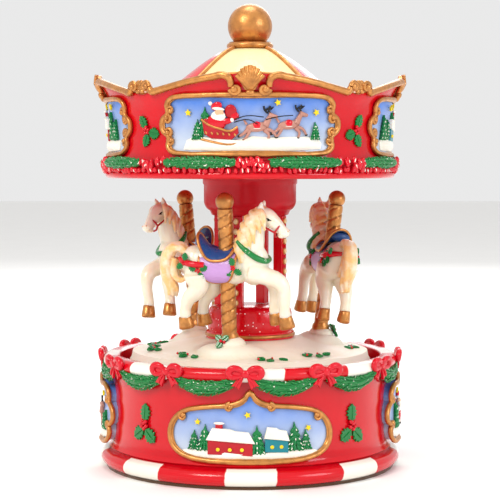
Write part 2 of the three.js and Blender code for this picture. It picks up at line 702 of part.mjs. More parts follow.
add('melody_cylinder', melodyCylinder(), BRASS, 0.3, 1);
add('cylinder_arbor', alongX(rod(CYLINDER_ARBOR_RADIUS, 0, outerBracketEnd + 0.4 - pinionStart + 0.3),
  pinionStart - 0.3, 0, cylinderAxis), STEEL, 0.3, 1);
add('cylinder_pinion', wheelOnX(pinionOutline, CYLINDER_ARBOR_RADIUS, pinionStart, pinionEnd - pinionStart, 0),
  BRASS, 0.3, 1);
add('great_wheel', wheelOnX(greatOutline, CYLINDER_ARBOR_RADIUS, greatWheelStart, TRAIN_WHEEL_THICKNESS, 0),
  BRASS, 0.3, 1);

// ---- Governor -----------------------------------------------------------------------------------------

const wormLength = 4.4;
const wormBottom = cylinderAxis - wormLength / 2;
const fanBottom = cylinderAxis + 3.9;
const fanTop = fanBottom + 3;
const fanSpindleRadius = 0.45;

function secondArbor() {
  const length = fanSupportStart + BRACKET_THICKNESS - greatWheelStart;
  const shaft = rod(secondArborRadius, 0, length, 12);
  const leaves = extrude(fanPinionOutline, -0.1, TRAIN_WHEEL_THICKNESS + 0.1);
  return alongX(join(shaft, leaves), greatWheelStart, secondAxisY, cylinderAxis);
}

// Two right-hand threads, with a gap toward the worm wheel at the height of its axis.
function governorWorm() {
  const pitch = Math.PI * WORM_WHEEL_MODULE;
  const steps = Math.round(wormLength / pitch * 5);
  const sides = 12;
  const ring = (z, radiusAt) => Array.from({ length: sides }, (unused, side) => {
    const angle = 2 * Math.PI * side / sides;
    const radius = radiusAt(angle);
    return new THREE.Vector3(radius * Math.cos(angle), radius * Math.sin(angle), z);
  });
  const thread = Array.from({ length: steps + 1 }, (unused, step) => {
    const z = wormBottom + wormLength * step / steps;
    return ring(z, (angle) => {
      const turn = (z - cylinderAxis) / pitch - (angle + Math.PI / 2) * WORM_STARTS / (2 * Math.PI) + 0.5;
      const crest = Math.max(0, Math.cos(2 * Math.PI * turn));
      return WORM_PITCH_RADIUS - 0.4 + 0.65 * crest;
    });
  });
  const spindle = (z) => ring(z, () => fanSpindleRadius);
  return loft([spindle(bedTop + 0.4), spindle(wormBottom - 0.01), ...thread, spindle(wormBottom + wormLength + 0.01),
    spindle(fanTop + 1)]).translate(wormX, wormY, 0);
}

function fanWings() {
  const hub = tube(fanSpindleRadius + FIT_GAP, 1.3, fanBottom, fanTop, 16);
  const wing = (side) => box([side < 0 ? -FAN_RADIUS : 1, -0.2, fanBottom],
    [side < 0 ? -1 : FAN_RADIUS, 0.2, fanTop]);
  return join(hub, wing(1), wing(-1)).translate(wormX, wormY, 0);
}

// The upright holds the second arbor's end and its arm holds the fan's top pivot.
function governorBracket() {
  const start = fanSupportStart;
  const end = start + BRACKET_THICKNESS;
  const armBottom = fanTop + 0.5;
  const upright = box([start, secondAxisY - 2, bedTop + SEAT], [end, wormY + 2, armBottom + 1]);
  const arm = box([wormX - 1.6, wormY - 2, armBottom], [end, wormY + 2, armBottom + 1]);
  const bearing = alongX(rod(secondArborRadius + RUNNING_GAP, -1, BRACKET_THICKNESS + 1),
    start, secondAxisY, cylinderAxis);
  const pivot = rod(fanSpindleRadius + RUNNING_GAP, armBottom - 1, armBottom + 2).translate(wormX, wormY, 0);
  return cut(join(upright, arm), bearing, pivot);
}

add('second_arbor', secondArbor(), STEEL, 0.3, 1);
add('worm_wheel', alongX(drilledPlate(wormWheelOutline, 0, wormWheelThickness,
  [[0, 0, secondArborRadius + FIT_GAP]]), wormWheelStart, secondAxisY, cylinderAxis), BRASS, 0.3, 1);
add('governor_worm', governorWorm(), STEEL, 0.3, 1);
add('fan_wings', fanWings(), BRASS, 0.4, 1);
add('governor_bracket', governorBracket(), BRASS, 0.35, 1);

// ---- Snow deck and column -----------------------------------------------------------------------------

const poleFoot = deckRadius - POLE_INSET;
const deckEdgeTop = deckBottom + DECK_EDGE;
const seatRadius = DRUM_RADIUS + 1;
const deckTopAt = (radius) => {
  const share = Math.min(1, Math.max(0, (deckRadius - radius) / (deckRadius - seatRadius)));
  return deckEdgeTop + DECK_RISE * Math.pow(share, 0.8);
};
const moundTop = deckTopAt(poleFoot) + MOUND_HEIGHT * 0.55;

// Put a piece made at the origin at a pole's foot, its X axis along the ride, leaning outward.
function atPole(geometry, angle) {
  const placed = geometry.rotateX(degrees(POLE_LEAN)).rotateZ(Math.PI / 2);
  return placed.translate(poleFoot, 0, moundTop).rotateZ(degrees(angle));
}

function snowDeck() {
  const inner = SPINDLE_RADIUS + FIT_GAP;
  const slope = Array.from({ length: 7 }, (unused, step) => {
    const radius = deckRadius - 0.8 + (seatRadius - deckRadius + 0.8) * step / 6;
    return [radius, deckTopAt(radius)];
  });
  const profile = [
    [inner, deckBottom],
    [deckRadius, deckBottom],
    [deckRadius, deckEdgeTop - 0.6],
    ...slope,
    [inner, columnSeat],
    [inner, deckBottom],
  ];
  const mounds = HORSE_ANGLES.map((angle) => {
    const dome = new THREE.SphereGeometry(1, 14, 8).scale(MOUND_WIDTH, MOUND_LENGTH, MOUND_HEIGHT);
    const placed = dome.translate(poleFoot, 0, moundTop - MOUND_HEIGHT);
    return placed.rotateZ(degrees(angle));
  });
  return join(revolve(profile), ...mounds);
}

function columnDrum() {
  const bottom = columnSeat + SEAT;
  return revolve([
    [0, bottom + 4],
    [6, bottom + 4],
    [6, bottom],
    [DRUM_RADIUS + 0.5, bottom],
    ...arc(DRUM_RADIUS - 0.2, bottom + 1.2, 1.1, -80, 80, 4),
    [DRUM_RADIUS - 0.5, bottom + 2.5],
    [DRUM_RADIUS, bottom + 4],
    [DRUM_RADIUS - 0.4, drumTop - 1.5],
    [POST_RADIUS + 0.6, drumTop],
    [0, drumTop],
  ], 32);
}

function columnPost(angle) {
  const inner = POST_RADIUS - POST_THICKNESS;
  const spread = POST_WIDTH / (2 * POST_RADIUS);
  const outline = new THREE.Shape();
  outline.absarc(0, 0, POST_RADIUS, -spread, spread, false);
  outline.absarc(0, 0, inner, spread, -spread, true);
  return extrude(outline, drumTop + SEAT, postTop, 4).rotateZ(degrees(angle));
}

function columnCapital() {
  const bottom = postTop + SEAT;
  return revolve([
    [0, bottom],
    [POST_RADIUS + 0.3, bottom],
    [POST_RADIUS + 1.6, bottom + 1],
    ...arc(CAPITAL_RADIUS - 4, bottom + 5, 4, -50, 0, 4),
    [CAPITAL_RADIUS, capitalTop - 2.3],
    [CAPITAL_RADIUS + 0.3, capitalTop - 1.8],
    [CAPITAL_RADIUS + 0.3, capitalTop],
    [0, capitalTop],
  ], 32);
}

add('snow_deck', snowDeck(), SNOW, 0.8);
add('column_drum', columnDrum(), RED, 0.3);
for (let post = 0; post < POST_COUNT; post += 1) {
  const angle = POST_START_ANGLE + 360 * post / POST_COUNT;
  add(`column_post_${post + 1}`, columnPost(angle), RED, 0.3);
}
add('column_capital', columnCapital(), '#8f0d18', 0.5);

// ---- Canopy -------------------------------------------------------------------------------------------

// 1 at the four shells and 0 at the dips between them.
const shellShare = (angle) => Math.cos(2 * angle) ** 2;
const crestAt = (angle) => dipTop + CREST_HEIGHT * shellShare(angle) ** 0.62;
const flareAt = (angle) => CANOPY_RADIUS + FASCIA_FLARE + CREST_FLARE * shellShare(angle);

const CANOPY_STEPS = 56;

function ringSection(points, angle) {
  return points.map(([radius, z]) => new THREE.Vector3(radius * Math.cos(angle), radius * Math.sin(angle), z));
}

function canopySoffit() {
  const inner = CANOPY_RADIUS - FASCIA_THICKNESS;
  const garland = CANOPY_RADIUS + GARLAND_REACH;
  return revolve([
    [0, soffitBottom],
    [CANOPY_RADIUS - 1, soffitBottom],
    [garland - 0.4, soffitBottom + 0.8],
    [garland, soffitBottom + SOFFIT_HEIGHT / 2],
    [garland - 0.4, soffitTop - 0.6],
    [CANOPY_RADIUS, soffitTop],
    [inner, soffitTop],
    [inner, soffitBottom + SOFFIT_THICKNESS],
    [0, soffitBottom + SOFFIT_THICKNESS],
  ]);
}

function canopyFascia() {
  const rings = Array.from({ length: CANOPY_STEPS }, (unused, step) => {
    const angle = 2 * Math.PI * step / CANOPY_STEPS;
    const top = crestAt(angle);
    const flare = flareAt(angle);
    const waist = CANOPY_RADIUS - FASCIA_WAIST;
    const height = top - fasciaBottom;
    const outer = [
      [CANOPY_RADIUS - 0.2, fasciaBottom],
      [waist, fasciaBottom + height * 0.25],
      [waist + (flare - waist) * 0.12, fasciaBottom + height * 0.55],
      [waist + (flare - waist) * 0.5, fasciaBottom + height * 0.82],
      [flare, top - 0.8],
      [flare - 0.3, top],
    ];
    const inner = [
      [flare - FASCIA_THICKNESS, top],
      [waist - FASCIA_THICKNESS, fasciaBottom + height * 0.5],
      [waist - FASCIA_THICKNESS, fasciaBottom],
    ];
    return ringSection([...outer, ...inner], angle);
  });
  return loft(rings, true);
}

// The roof is a bell-shaped skin that falls from the neck, then runs level out to the fascia.
function canopyRoof() {
  const hole = FINIAL_PEG_RADIUS + FIT_GAP;
  const waist = CANOPY_RADIUS - FASCIA_WAIST;
  const edgeTop = dipTop - ROOF_DIP;
  const rings = Array.from({ length: CANOPY_STEPS }, (unused, step) => {
    const angle = 2 * Math.PI * step / CANOPY_STEPS;
    const top = crestAt(angle);
    const middle = (fasciaBottom + top) / 2;
    const lean = Math.max(0, (edgeTop - ROOF_THICKNESS - middle) / (top - middle));
    const edge = waist + (flareAt(angle) - waist) * lean - FASCIA_THICKNESS - FIT_GAP;
    const slopeAt = (share) => {
      const fallen = Math.min(1, share / ROOF_BELL);
      const drop = (neckBottom - edgeTop) * fallen * fallen * (3 - 2 * fallen);
      return [NECK_RADIUS + (edge - NECK_RADIUS) * share, neckBottom - drop];
    };
    const shares = [0, 0.1, 0.2, 0.3, 0.42, 0.56, ROOF_BELL, 1];
    const upper = shares.map(slopeAt);
    const lower = [...shares].reverse().map(slopeAt).map(([radius, z]) => [radius, z - ROOF_THICKNESS]);
    return ringSection([[hole, neckBottom], ...upper, ...lower, [hole, neckBottom - ROOF_THICKNESS]], angle);
  });
  return loft(rings, true);
}

function finialBall() {
  const centre = neckTop + SEAT + FINIAL_RADIUS * 0.72;
  const ball = arc(0, centre, FINIAL_RADIUS, -46, 90, 9).slice(0, -1);
  return revolve([
    [0, neckBottom - ROOF_THICKNESS],
    [FINIAL_PEG_RADIUS, neckBottom - ROOF_THICKNESS],
    [FINIAL_PEG_RADIUS, neckTop + SEAT],
    ...ball,
    [0, centre + FINIAL_RADIUS],
  ], 24);
}

add('canopy_soffit', canopySoffit(), RED, 0.3);
add('canopy_fascia', canopyFascia(), RED, 0.25);
add('canopy_roof', canopyRoof(), CREAM, 0.45);
add('neck_ring', tube(FINIAL_PEG_RADIUS + FIT_GAP, NECK_RADIUS, neckBottom + SEAT, neckTop, 24), RED, 0.3);
add('finial_ball', finialBall(), GOLD, 0.4, 0.6);

// ---- Poles and horses ---------------------------------------------------------------------------------

function pole() {
  const profile = [
    [0, FIT_GAP],
    [POLE_KNOB_RADIUS * 0.7, FIT_GAP],
    ...arc(0, 2.1, POLE_KNOB_RADIUS, -25, 25, 2),
    [POLE_RADIUS, 3.9],
    [POLE_RADIUS, POLE_LENGTH - 2],
    ...arc(0, POLE_LENGTH, POLE_BALL_RADIUS, -38, 90, 5).slice(0, -1),
    [0, POLE_LENGTH + POLE_BALL_RADIUS],
  ];
  return revolve(profile, 12);
}

// A jumping horse that faces +X, the pole's axis through its saddle, its lowest hoof at z = 0.
function horse() {
  const trunk = limb([[-14.5, 0, 20.5, 1.6, 2], [-12.8, 0, 20.4, 4, 4.4], [-8.5, 0, 19.8, 5, 5.6],
    [-2, 0, 19.2, 4.9, 5.4], [4, 0, 19.4, 4.9, 5.6], [9, 0, 20.6, 4.2, 5], [12, 0, 21.6, 2, 2.6]], 10);
  const neck = limb([[7, 0, 20.5, 3.4, 5], [10.4, 0, 26, 2.8, 4.1], [12, 0, 31.5, 2.2, 3.2],
    [12.6, 0, 36, 1.7, 2.2]], 8);
  const head = limb([[11.4, 0, 38, 1.7, 1.9], [14, 0, 36.6, 2.1, 2.7], [17, 0, 33.6, 1.6, 2],
    [19.6, 0, 31.4, 1.4, 1.6], [20.4, 0, 30.8, 0.7, 0.9]], 8);
  const ear = (side) => limb([[12.6, side * 1.1, 38, 0.8, 0.7], [13.2, side * 1.4, 40.8, 0.2, 0.2]], 5);
  const tail = limb([[-13.6, 0, 22.4, 1.2, 1.2], [-17.4, 0, 22.6, 1.8, 1.8], [-20.2, 0, 17.6, 2, 2.2],
    [-20, 0, 12, 1.6, 1.6], [-18.4, 0, 8, 0.6, 0.6]], 7);
  const foreLeg = (side, reach) => limb([[8.6, side * 2.6, 18, 2, 2.6], [12 + reach, side * 3, 12.4, 1.4, 1.7],
    [13.4 + reach, side * 3, 9.6, 1.25, 1.4], [13.8 + reach, side * 3, 4.6, 1, 1],
    [14.6 + reach, side * 3, 3, 1.4, 1.3], [15.6 + reach, side * 3, 1.2, 1.7, 1.6]], 6);
  const hindLeg = (side, reach) => limb([[-10.4, side * 2.6, 18, 2.4, 3.6], [-9.6 + reach, side * 3, 12.6, 1.9, 2.5],
    [-13 + reach, side * 3, 8.2, 1.3, 1.5], [-13.4 + reach, side * 3, 4.4, 1, 1.1],
    [-13 + reach, side * 3, 2.4, 1.4, 1.3], [-12 + reach, side * 3, 0.4, 1.7, 1.6]], 6);
  const saddle = limb([[-6.6, 0, 21, 5.2, 5], [-4.6, 0, 20.6, 5.7, 6], [0, 0, 20.2, 5.7, 5.9],
    [4.4, 0, 20.8, 5.6, 6], [5.8, 0, 21.2, 5.1, 5]], 10);
  const bore = rod(POLE_RADIUS + FIT_GAP, -2, 45, 12);
  const body = join(trunk, neck, head, ear(1), ear(-1), tail, foreLeg(1, 1.2), foreLeg(-1, 4.2),
    hindLeg(1, 4.4), hindLeg(-1, 0), saddle);
  return cut(body, bore);
}

HORSE_ANGLES.forEach((angle, at) => {
  add(`pole_${at + 1}`, atPole(pole(), angle), GOLD, 0.35, 0.7);
  add(`horse_${at + 1}`, atPole(horse().translate(0, 0, HORSE_RIDE), angle), IVORY, 0.35);
});

export default carouselBox;
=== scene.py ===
"""Wind-up musical carousel: the painted resin looks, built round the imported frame."""
import math
import random

import bpy
from mathutils import Matrix, Vector


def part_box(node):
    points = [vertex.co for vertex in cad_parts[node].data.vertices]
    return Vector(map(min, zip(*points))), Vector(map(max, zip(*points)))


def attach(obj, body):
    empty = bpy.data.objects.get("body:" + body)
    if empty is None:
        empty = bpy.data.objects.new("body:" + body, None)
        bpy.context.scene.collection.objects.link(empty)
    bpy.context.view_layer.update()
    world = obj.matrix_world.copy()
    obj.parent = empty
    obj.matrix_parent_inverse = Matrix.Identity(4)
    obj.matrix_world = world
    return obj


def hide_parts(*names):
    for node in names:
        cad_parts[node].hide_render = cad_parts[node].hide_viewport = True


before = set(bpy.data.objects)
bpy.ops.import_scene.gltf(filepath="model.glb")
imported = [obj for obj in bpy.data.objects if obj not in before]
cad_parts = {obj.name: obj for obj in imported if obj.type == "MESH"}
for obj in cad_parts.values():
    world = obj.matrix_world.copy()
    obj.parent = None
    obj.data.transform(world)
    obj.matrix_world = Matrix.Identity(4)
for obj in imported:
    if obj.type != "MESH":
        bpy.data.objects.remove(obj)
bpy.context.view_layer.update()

bl_info = {
    "name": "Musical carousel",
    "version": (1, 0, 0),
    "blender": (4, 5, 0),
    "location": "View3D > Sidebar > Carousel",
    "description": "Builds the painted resin surfaces of a wind-up musical carousel",
    "category": "Add Mesh",
}

MM = 0.001
FRONT = -90.0


def low(node):
    """Lowest height of a frame node, in millimetres."""
    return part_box(node)[0][2] / MM


def high(node):
    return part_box(node)[1][2] / MM


def reach(node):
    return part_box(node)[1][0] / MM


# ---- Heights and radii taken from the frame, in millimetres ----

RIM_TOP = high("base_shell")
FOOT_LOW = low("base_shell")
FOOT_REACH = reach("base_shell")
WALL = FOOT_REACH - 3.8
WALL_INSIDE = reach("base_cover") + 0.3
FOOT_TOP = FOOT_LOW + 8.0
RIM_BEAD = 2.2
RIM_MIDDLE = RIM_TOP - RIM_BEAD
DECK_LOW = low("snow_deck")
DECK_REACH = reach("snow_deck")
SEAT = low("column_drum")
DRUM_TOP = high("column_drum")
POST_TOP = high("column_post_1")
CAPITAL_TOP = high("column_capital")
SOFFIT_LOW = low("canopy_soffit")
SOFFIT_TOP = high("canopy_soffit")
GARLAND_REACH = reach("canopy_soffit")
CANOPY = GARLAND_REACH - 1.3
FASCIA_LOW = low("canopy_fascia")
CREST_TOP = high("canopy_fascia")
CREST = 7.6
DIP_TOP = CREST_TOP - CREST
NECK_LOW = low("neck_ring")
NECK_TOP = high("neck_ring")
NECK = reach("neck_ring")
FINIAL_TOP = high("finial_ball")


def linear(code):
    """An sRGB hex colour as linear red, green, blue and alpha."""
    values = [int(code[at:at + 2], 16) / 255 for at in (1, 3, 5)]
    return [v / 12.92 if v <= 0.04045 else ((v + 0.055) / 1.055) ** 2.4 for v in values] + [1.0]


def colour_property(name, description, code):
    return bpy.props.FloatVectorProperty(
        name=name, description=description, subtype="COLOR", size=4, min=0.0, max=1.0, default=linear(code))


def length_property(name, description, value):
    return bpy.props.FloatProperty(name=name, description=description, default=value, min=0.0, unit="LENGTH")


class CarouselColours(bpy.types.PropertyGroup):
    """Paints of the carousel."""
    red: colour_property("Red", "Gloss red of the casting", "#d00417")
    # A darker, matt copy of the casting's red for the parts under the canopy: painted shade, as these parts
    # share the main red.
    shaded_red: colour_property("Deep red", "Matt red under the canopy", "#c4071c")
    cream: colour_property("Cream", "Roof panels", "#ecd9a4")
    white: colour_property("White", "Stripes", "#f1ece0")
    snow: colour_property("Snow", "Deck and snow in the pictures", "#ece5d4")
    gold: colour_property("Gold", "Mouldings and poles", "#cb8a47")
    # The bronze colours worn patches of the gold and the painted shade in its grooves.
    bronze: colour_property("Bronze", "Recesses of the gold", "#6a3a19")
    green: colour_property("Green", "Garlands and holly", "#067a35")
    ivory: colour_property("Ivory", "Horses", "#ece5d3")
    peach: colour_property("Peach", "Manes and tails", "#eec07c")
    sky: colour_property("Sky", "Top of the painted sky", "#3f76cf")
    pale_sky: colour_property("Pale sky", "Foot of the painted sky", "#bcc9dc")
    saddle: colour_property("Saddle", "Saddle blue", "#1c4a86")
    lilac: colour_property("Lilac", "Saddle cloth", "#c79ad6")
    felt: colour_property("Felt", "Felt ring under the base", "#5c3d22")


class CarouselSizes(bpy.types.PropertyGroup):
    """Sizes of the applied ornament, in metres."""
    moulding: length_property("Moulding", "Thickness of the picture frames", 1.7 * MM)
    swag: length_property("Swag", "Thickness of a garland swag", 5.4 * MM)
    pole: length_property("Pole", "Thickness of a horse pole", 5.0 * MM)
    remesh: length_property("Casting detail", "Finest detail of the cast horses", 0.42 * MM)


def colours():
    return bpy.context.scene.carousel_colours


def sizes():
    return bpy.context.scene.carousel_sizes


# ---- Materials ----


def node(tree, kind, inputs=None, **settings):
    """Add a node, set its settings, and set or link its inputs."""
    made = tree.nodes.new(kind)
    for key, value in settings.items():
        setattr(made, key, value)
    for key, value in (inputs or {}).items():
        if isinstance(value, bpy.types.NodeSocket):
            tree.links.new(value, made.inputs[key])
        else:
            made.inputs[key].default_value = value
    return made


def per_mm(size):
    """A texture scale whose features are about this many millimetres wide."""
    return 1.0 / (size * MM)


def as_material(add_nodes):
    """Turn a function that adds a finish's nodes into one that makes the named material once."""
    def make(name, *values, **settings):
        made = bpy.data.materials.get(name)
        if made is None:
            made = bpy.data.materials.new(name)
            made.use_nodes = True
            add_nodes(made.node_tree, made.node_tree.nodes["Principled BSDF"], *values, **settings)
        return made
    return make


def tone(colour, share):
    """A colour at a share of its brightness."""
    return [value * share for value in colour[:3]] + [1.0]


def place(tree):
    return node(tree, "ShaderNodeTexCoord").outputs["Object"]


def noise(tree, size, detail=3.0, roughness=0.5):
    return node(tree, "ShaderNodeTexNoise", {
        "Vector": place(tree), "Scale": per_mm(size), "Detail": detail,
        "Roughness": roughness}).outputs["Fac"]


def blend(tree, share, first, second, mode="MIX"):
    return node(tree, "ShaderNodeMix", {0: share, 6: first, 7: second},
                data_type="RGBA", blend_type=mode).outputs[2]


def remap(tree, value, start, end, low_value=0.0, high_value=1.0):
    return node(tree, "ShaderNodeMapRange", {
        "Value": value, "From Min": start, "From Max": end,
        "To Min": low_value, "To Max": high_value}).outputs["Result"]


def maths(tree, operation, *values):
    return node(tree, "ShaderNodeMath", dict(enumerate(values)), operation=operation).outputs[0]


def bump(tree, shader, height, depth, strength=1.0):
    made = node(tree, "ShaderNodeBump", {"Height": height, "Distance": depth * MM, "Strength": strength})
    tree.links.new(made.outputs["Normal"], shader.inputs["Normal"])


def hollows(tree, start=0.44, end=0.5):
    """1 in hollows and 0 on edges, from the shape's own curvature: the mask for the painted shade that
    darkens colours in the hollows.
    """
    pointed = node(tree, "ShaderNodeNewGeometry").outputs["Pointiness"]
    return remap(tree, pointed, start, end, 1.0, 0.0)


def set_shader(shader, **values):
    """Set or link the shader's sockets, each named with underscores for its spaces."""
    for key, value in values.items():
        socket = shader.inputs[key.replace("_", " ")]
        if isinstance(value, bpy.types.NodeSocket):
            shader.id_data.links.new(value, socket)
        else:
            socket.default_value = value


@as_material
def resin_paint(tree, shader, colour, roughness=0.2, coat=0.3, shade=0.75, grain=0.012):
    """Hand-brushed gloss enamel over cast polyresin: a deep colour, darkened in the hollows by painted shade.
    """
    patches = remap(tree, noise(tree, 9.0), 0.35, 0.7)
    dark = tone(colour, shade)
    mixed = blend(tree, maths(tree, "MULTIPLY", patches, 0.45), list(colour), dark)
    # Painted shade: the colour is darkened toward 0.45 of its brightness in the hollows.
    shaded_colour = blend(tree, maths(tree, "MULTIPLY", hollows(tree), 0.55), mixed, tone(colour, 0.45))
    rough = remap(tree, noise(tree, 4.0), 0.3, 0.7, roughness * 0.75, roughness * 1.3)
    set_shader(shader, Base_Color=shaded_colour, Roughness=rough, Coat_Weight=coat, Coat_Roughness=0.04, IOR=1.4,
               Specular_IOR_Level=0.3)
    bump(tree, shader, noise(tree, 0.9, 4.0), grain * 4)


def turns_round(tree, count, slant=0.0):
    """The share, 0 to 1, through each of count sectors round Z. slant shifts it by height, per metre."""
    parts = node(tree, "ShaderNodeSeparateXYZ", {0: place(tree)})
    angle = maths(tree, "ARCTAN2", parts.outputs[0], maths(tree, "MULTIPLY", parts.outputs[1], -1.0))
    turn = maths(tree, "MULTIPLY", angle, count / math.tau)
    leaning = maths(tree, "ADD", turn, maths(tree, "MULTIPLY", parts.outputs[2], slant))
    return maths(tree, "FRACT", maths(tree, "ADD", leaning, 100.5)), parts.outputs[2]


@as_material
def candy_resin(tree, shader, colour, stripe):
    """The casting's red enamel with white stripes painted across the foot bead and the rim bead."""
    sector, height = turns_round(tree, 8, slant=-2.0)
    middle = maths(tree, "ABSOLUTE", maths(tree, "SUBTRACT", sector, 0.5))
    wobble = maths(tree, "MULTIPLY", maths(tree, "SUBTRACT", noise(tree, 3.0), 0.5), 0.025)
    across = remap(tree, maths(tree, "ADD", middle, wobble), 0.203, 0.211, 1.0, 0.0)
    foot = remap(tree, height, (FOOT_TOP - 2.5) * MM, (FOOT_TOP - 2.3) * MM, 1.0, 0.0)
    rim = remap(tree, height, (RIM_MIDDLE - RIM_BEAD) * MM, (RIM_MIDDLE - RIM_BEAD + 0.2) * MM)
    parts = node(tree, "ShaderNodeSeparateXYZ", {0: place(tree)})
    flat = node(tree, "ShaderNodeCombineXYZ", {0: parts.outputs[0], 1: parts.outputs[1]})
    out = node(tree, "ShaderNodeVectorMath", {0: flat.outputs[0]}, operation="LENGTH").outputs["Value"]
    outside = remap(tree, out, (WALL_INSIDE + 0.2) * MM, (WALL_INSIDE + 0.4) * MM)
    mask = maths(tree, "MULTIPLY", maths(tree, "MULTIPLY", across, maths(tree, "ADD", foot, rim)), outside)
    patches = remap(tree, noise(tree, 12.0), 0.35, 0.7)
    red = blend(tree, maths(tree, "MULTIPLY", patches, 0.4), list(colour), tone(colour, 0.78))
    # Painted shade: the red is darkened toward 0.4 of its brightness in the hollows.
    shaded_colour = blend(tree, maths(tree, "MULTIPLY", hollows(tree), 0.5), red, tone(colour, 0.4))
    painted = blend(tree, mask, shaded_colour, list(stripe))
    set_shader(shader, Base_Color=painted, Roughness=remap(tree, noise(tree, 6.0), 0.3, 0.7, 0.14, 0.26),
               Coat_Weight=0.35, Coat_Roughness=0.04, IOR=1.4, Specular_IOR_Level=0.3)
    bump(tree, shader, maths(tree, "ADD", noise(tree, 2.0, 3.0), mask), 0.05)


@as_material
def gold_paint(tree, shader, colour, wear_and_shade_brown, roughness=0.34):
    """Metallic gold paint with worn brown patches at random and brown painted shade in the grooves, so edges
    shine gold.
    """
    worn = remap(tree, noise(tree, 2.2, 4.0), 0.42, 0.68)
    base = blend(tree, maths(tree, "MULTIPLY", worn, 0.4), list(colour), list(wear_and_shade_brown))
    # Painted shade: the grooves turn to the brown, on top of the random worn patches.
    gold_with_shade = blend(tree, hollows(tree, 0.43, 0.51), base, list(wear_and_shade_brown))
    set_shader(shader, Base_Color=gold_with_shade, Roughness=remap(tree, noise(tree, 1.1), 0.3, 0.7, roughness * 0.8,
                                                          roughness * 1.35), Metallic=0.72, Coat_Weight=0.25,
                                                          Coat_Roughness=0.2)
    bump(tree, shader, noise(tree, 0.5, 4.0), 0.05)


@as_material
def snow_resin(tree, shader, colour, glitter=0.0):
    """Matt white paint over a grainy cast, with a faint brownish wash in random patches and brownish painted
    shade in the hollows.
    """
    warm_tone_and_shade = [colour[0] * 0.86, colour[1] * 0.78, colour[2] * 0.62, 1.0]
    wash = maths(tree, "MULTIPLY", remap(tree, noise(tree, 14.0, 4.0), 0.4, 0.75), 0.5)
    base = blend(tree, wash, list(colour), warm_tone_and_shade)
    # Painted shade: the hollows are tinted brownish.
    shaded_colour = blend(tree, maths(tree, "MULTIPLY", hollows(tree, 0.45, 0.5), 0.5), base, warm_tone_and_shade)
    set_shader(shader, Base_Color=shaded_colour, Roughness=0.5, Subsurface_Weight=0.08, Subsurface_Scale=0.8 * MM,
               IOR=1.5,
               Sheen_Weight=glitter)
    bump(tree, shader, noise(tree, 0.7, 5.0, 0.65), 0.12)


@as_material
def ivory_resin(tree, shader, colour):
    """Unpainted translucent ivory polyresin, polished, faintly mottled."""
    warm_tone_and_shade = [colour[0] * 0.94, colour[1] * 0.84, colour[2] * 0.62, 1.0]
    mottle = maths(tree, "MULTIPLY", remap(tree, noise(tree, 5.0, 4.0), 0.4, 0.7), 0.4)
    base = blend(tree, mottle, list(colour), warm_tone_and_shade)
    # Painted shade: the hollows are tinted toward the deeper ivory; the mottle above is the resin's own.
    shaded_colour = blend(tree, maths(tree, "MULTIPLY", hollows(tree, 0.42, 0.49), 0.6), base, warm_tone_and_shade)
    set_shader(shader, Base_Color=shaded_colour, Roughness=0.3, Subsurface_Weight=0.35, Subsurface_Scale=2.0 * MM,
               IOR=1.54,
               Coat_Weight=0.4, Coat_Roughness=0.12)
    set_shader(shader, Subsurface_Radius=(1.0, 0.75, 0.5))
    bump(tree, shader, noise(tree, 1.6, 3.0), 0.05)


@as_material
def glitter_resin(tree, shader, colour):
    """Red enamel with fine silver glitter scattered in it. The flakes are drawn about 0.5 mm wide to show."""
    cells = node(tree, "ShaderNodeTexVoronoi", {"Vector": place(tree), "Scale": per_mm(1.3)})
    fleck = remap(tree, cells.outputs["Distance"], 0.16, 0.2, 1.0, 0.0)
    chosen = maths(tree, "GREATER_THAN", node(
        tree, "ShaderNodeSeparateColor", {0: cells.outputs["Color"]}).outputs[0], 0.45)
    mask = maths(tree, "MULTIPLY", fleck, chosen)
    painted = blend(tree, mask, list(colour), linear("#ffd9d9"))
    set_shader(shader, Base_Color=painted, Roughness=0.22, Coat_Weight=0.35, Coat_Roughness=0.05, IOR=1.4,
               Specular_IOR_Level=0.3)
    bump(tree, shader, maths(tree, "ADD", mask, noise(tree, 0.8)), 0.06)


@as_material
def painted_sky(tree, shader, top_colour, foot_colour, bottom, top):
    """Sky brushed in acrylic from deep blue down to pale grey-blue."""
    height = node(tree, "ShaderNodeSeparateXYZ", {0: place(tree)}).outputs[2]
    drift = maths(tree, "MULTIPLY", maths(tree, "SUBTRACT", noise(tree, 6.0), 0.5), 6 * MM)
    share = remap(tree, maths(tree, "ADD", height, drift), bottom * MM, top * MM)
    set_shader(shader, Base_Color=blend(tree, share, list(foot_colour), list(top_colour)), Roughness=0.35,
               Coat_Weight=0.3, Coat_Roughness=0.15)
    bump(tree, shader, noise(tree, 1.5, 4.0), 0.04)


@as_material
def washed_hair(tree, shader, colour, pale):
    """Peach wash over ivory resin: the locks are rubbed pale in random patches, and painted shade turns the
    grooves orange.
    """
    rubbed = remap(tree, noise(tree, 3.2, 3.0), 0.42, 0.66)
    base = blend(tree, maths(tree, "MULTIPLY", rubbed, 0.75), list(colour), list(pale))
    orange = [colour[0] * 0.82, colour[1] * 0.5, colour[2] * 0.26, 1.0]
    # Painted shade: the grooves are darkened to orange.
    shaded_colour = blend(tree, maths(tree, "MULTIPLY", hollows(tree, 0.45, 0.5), 0.9), base, orange)
    set_shader(shader, Base_Color=shaded_colour, Roughness=0.34, Coat_Weight=0.25, Coat_Roughness=0.1,
               Subsurface_Weight=0.12,
               Subsurface_Scale=1.2 * MM)
    bump(tree, shader, noise(tree, 0.8, 3.0), 0.06)


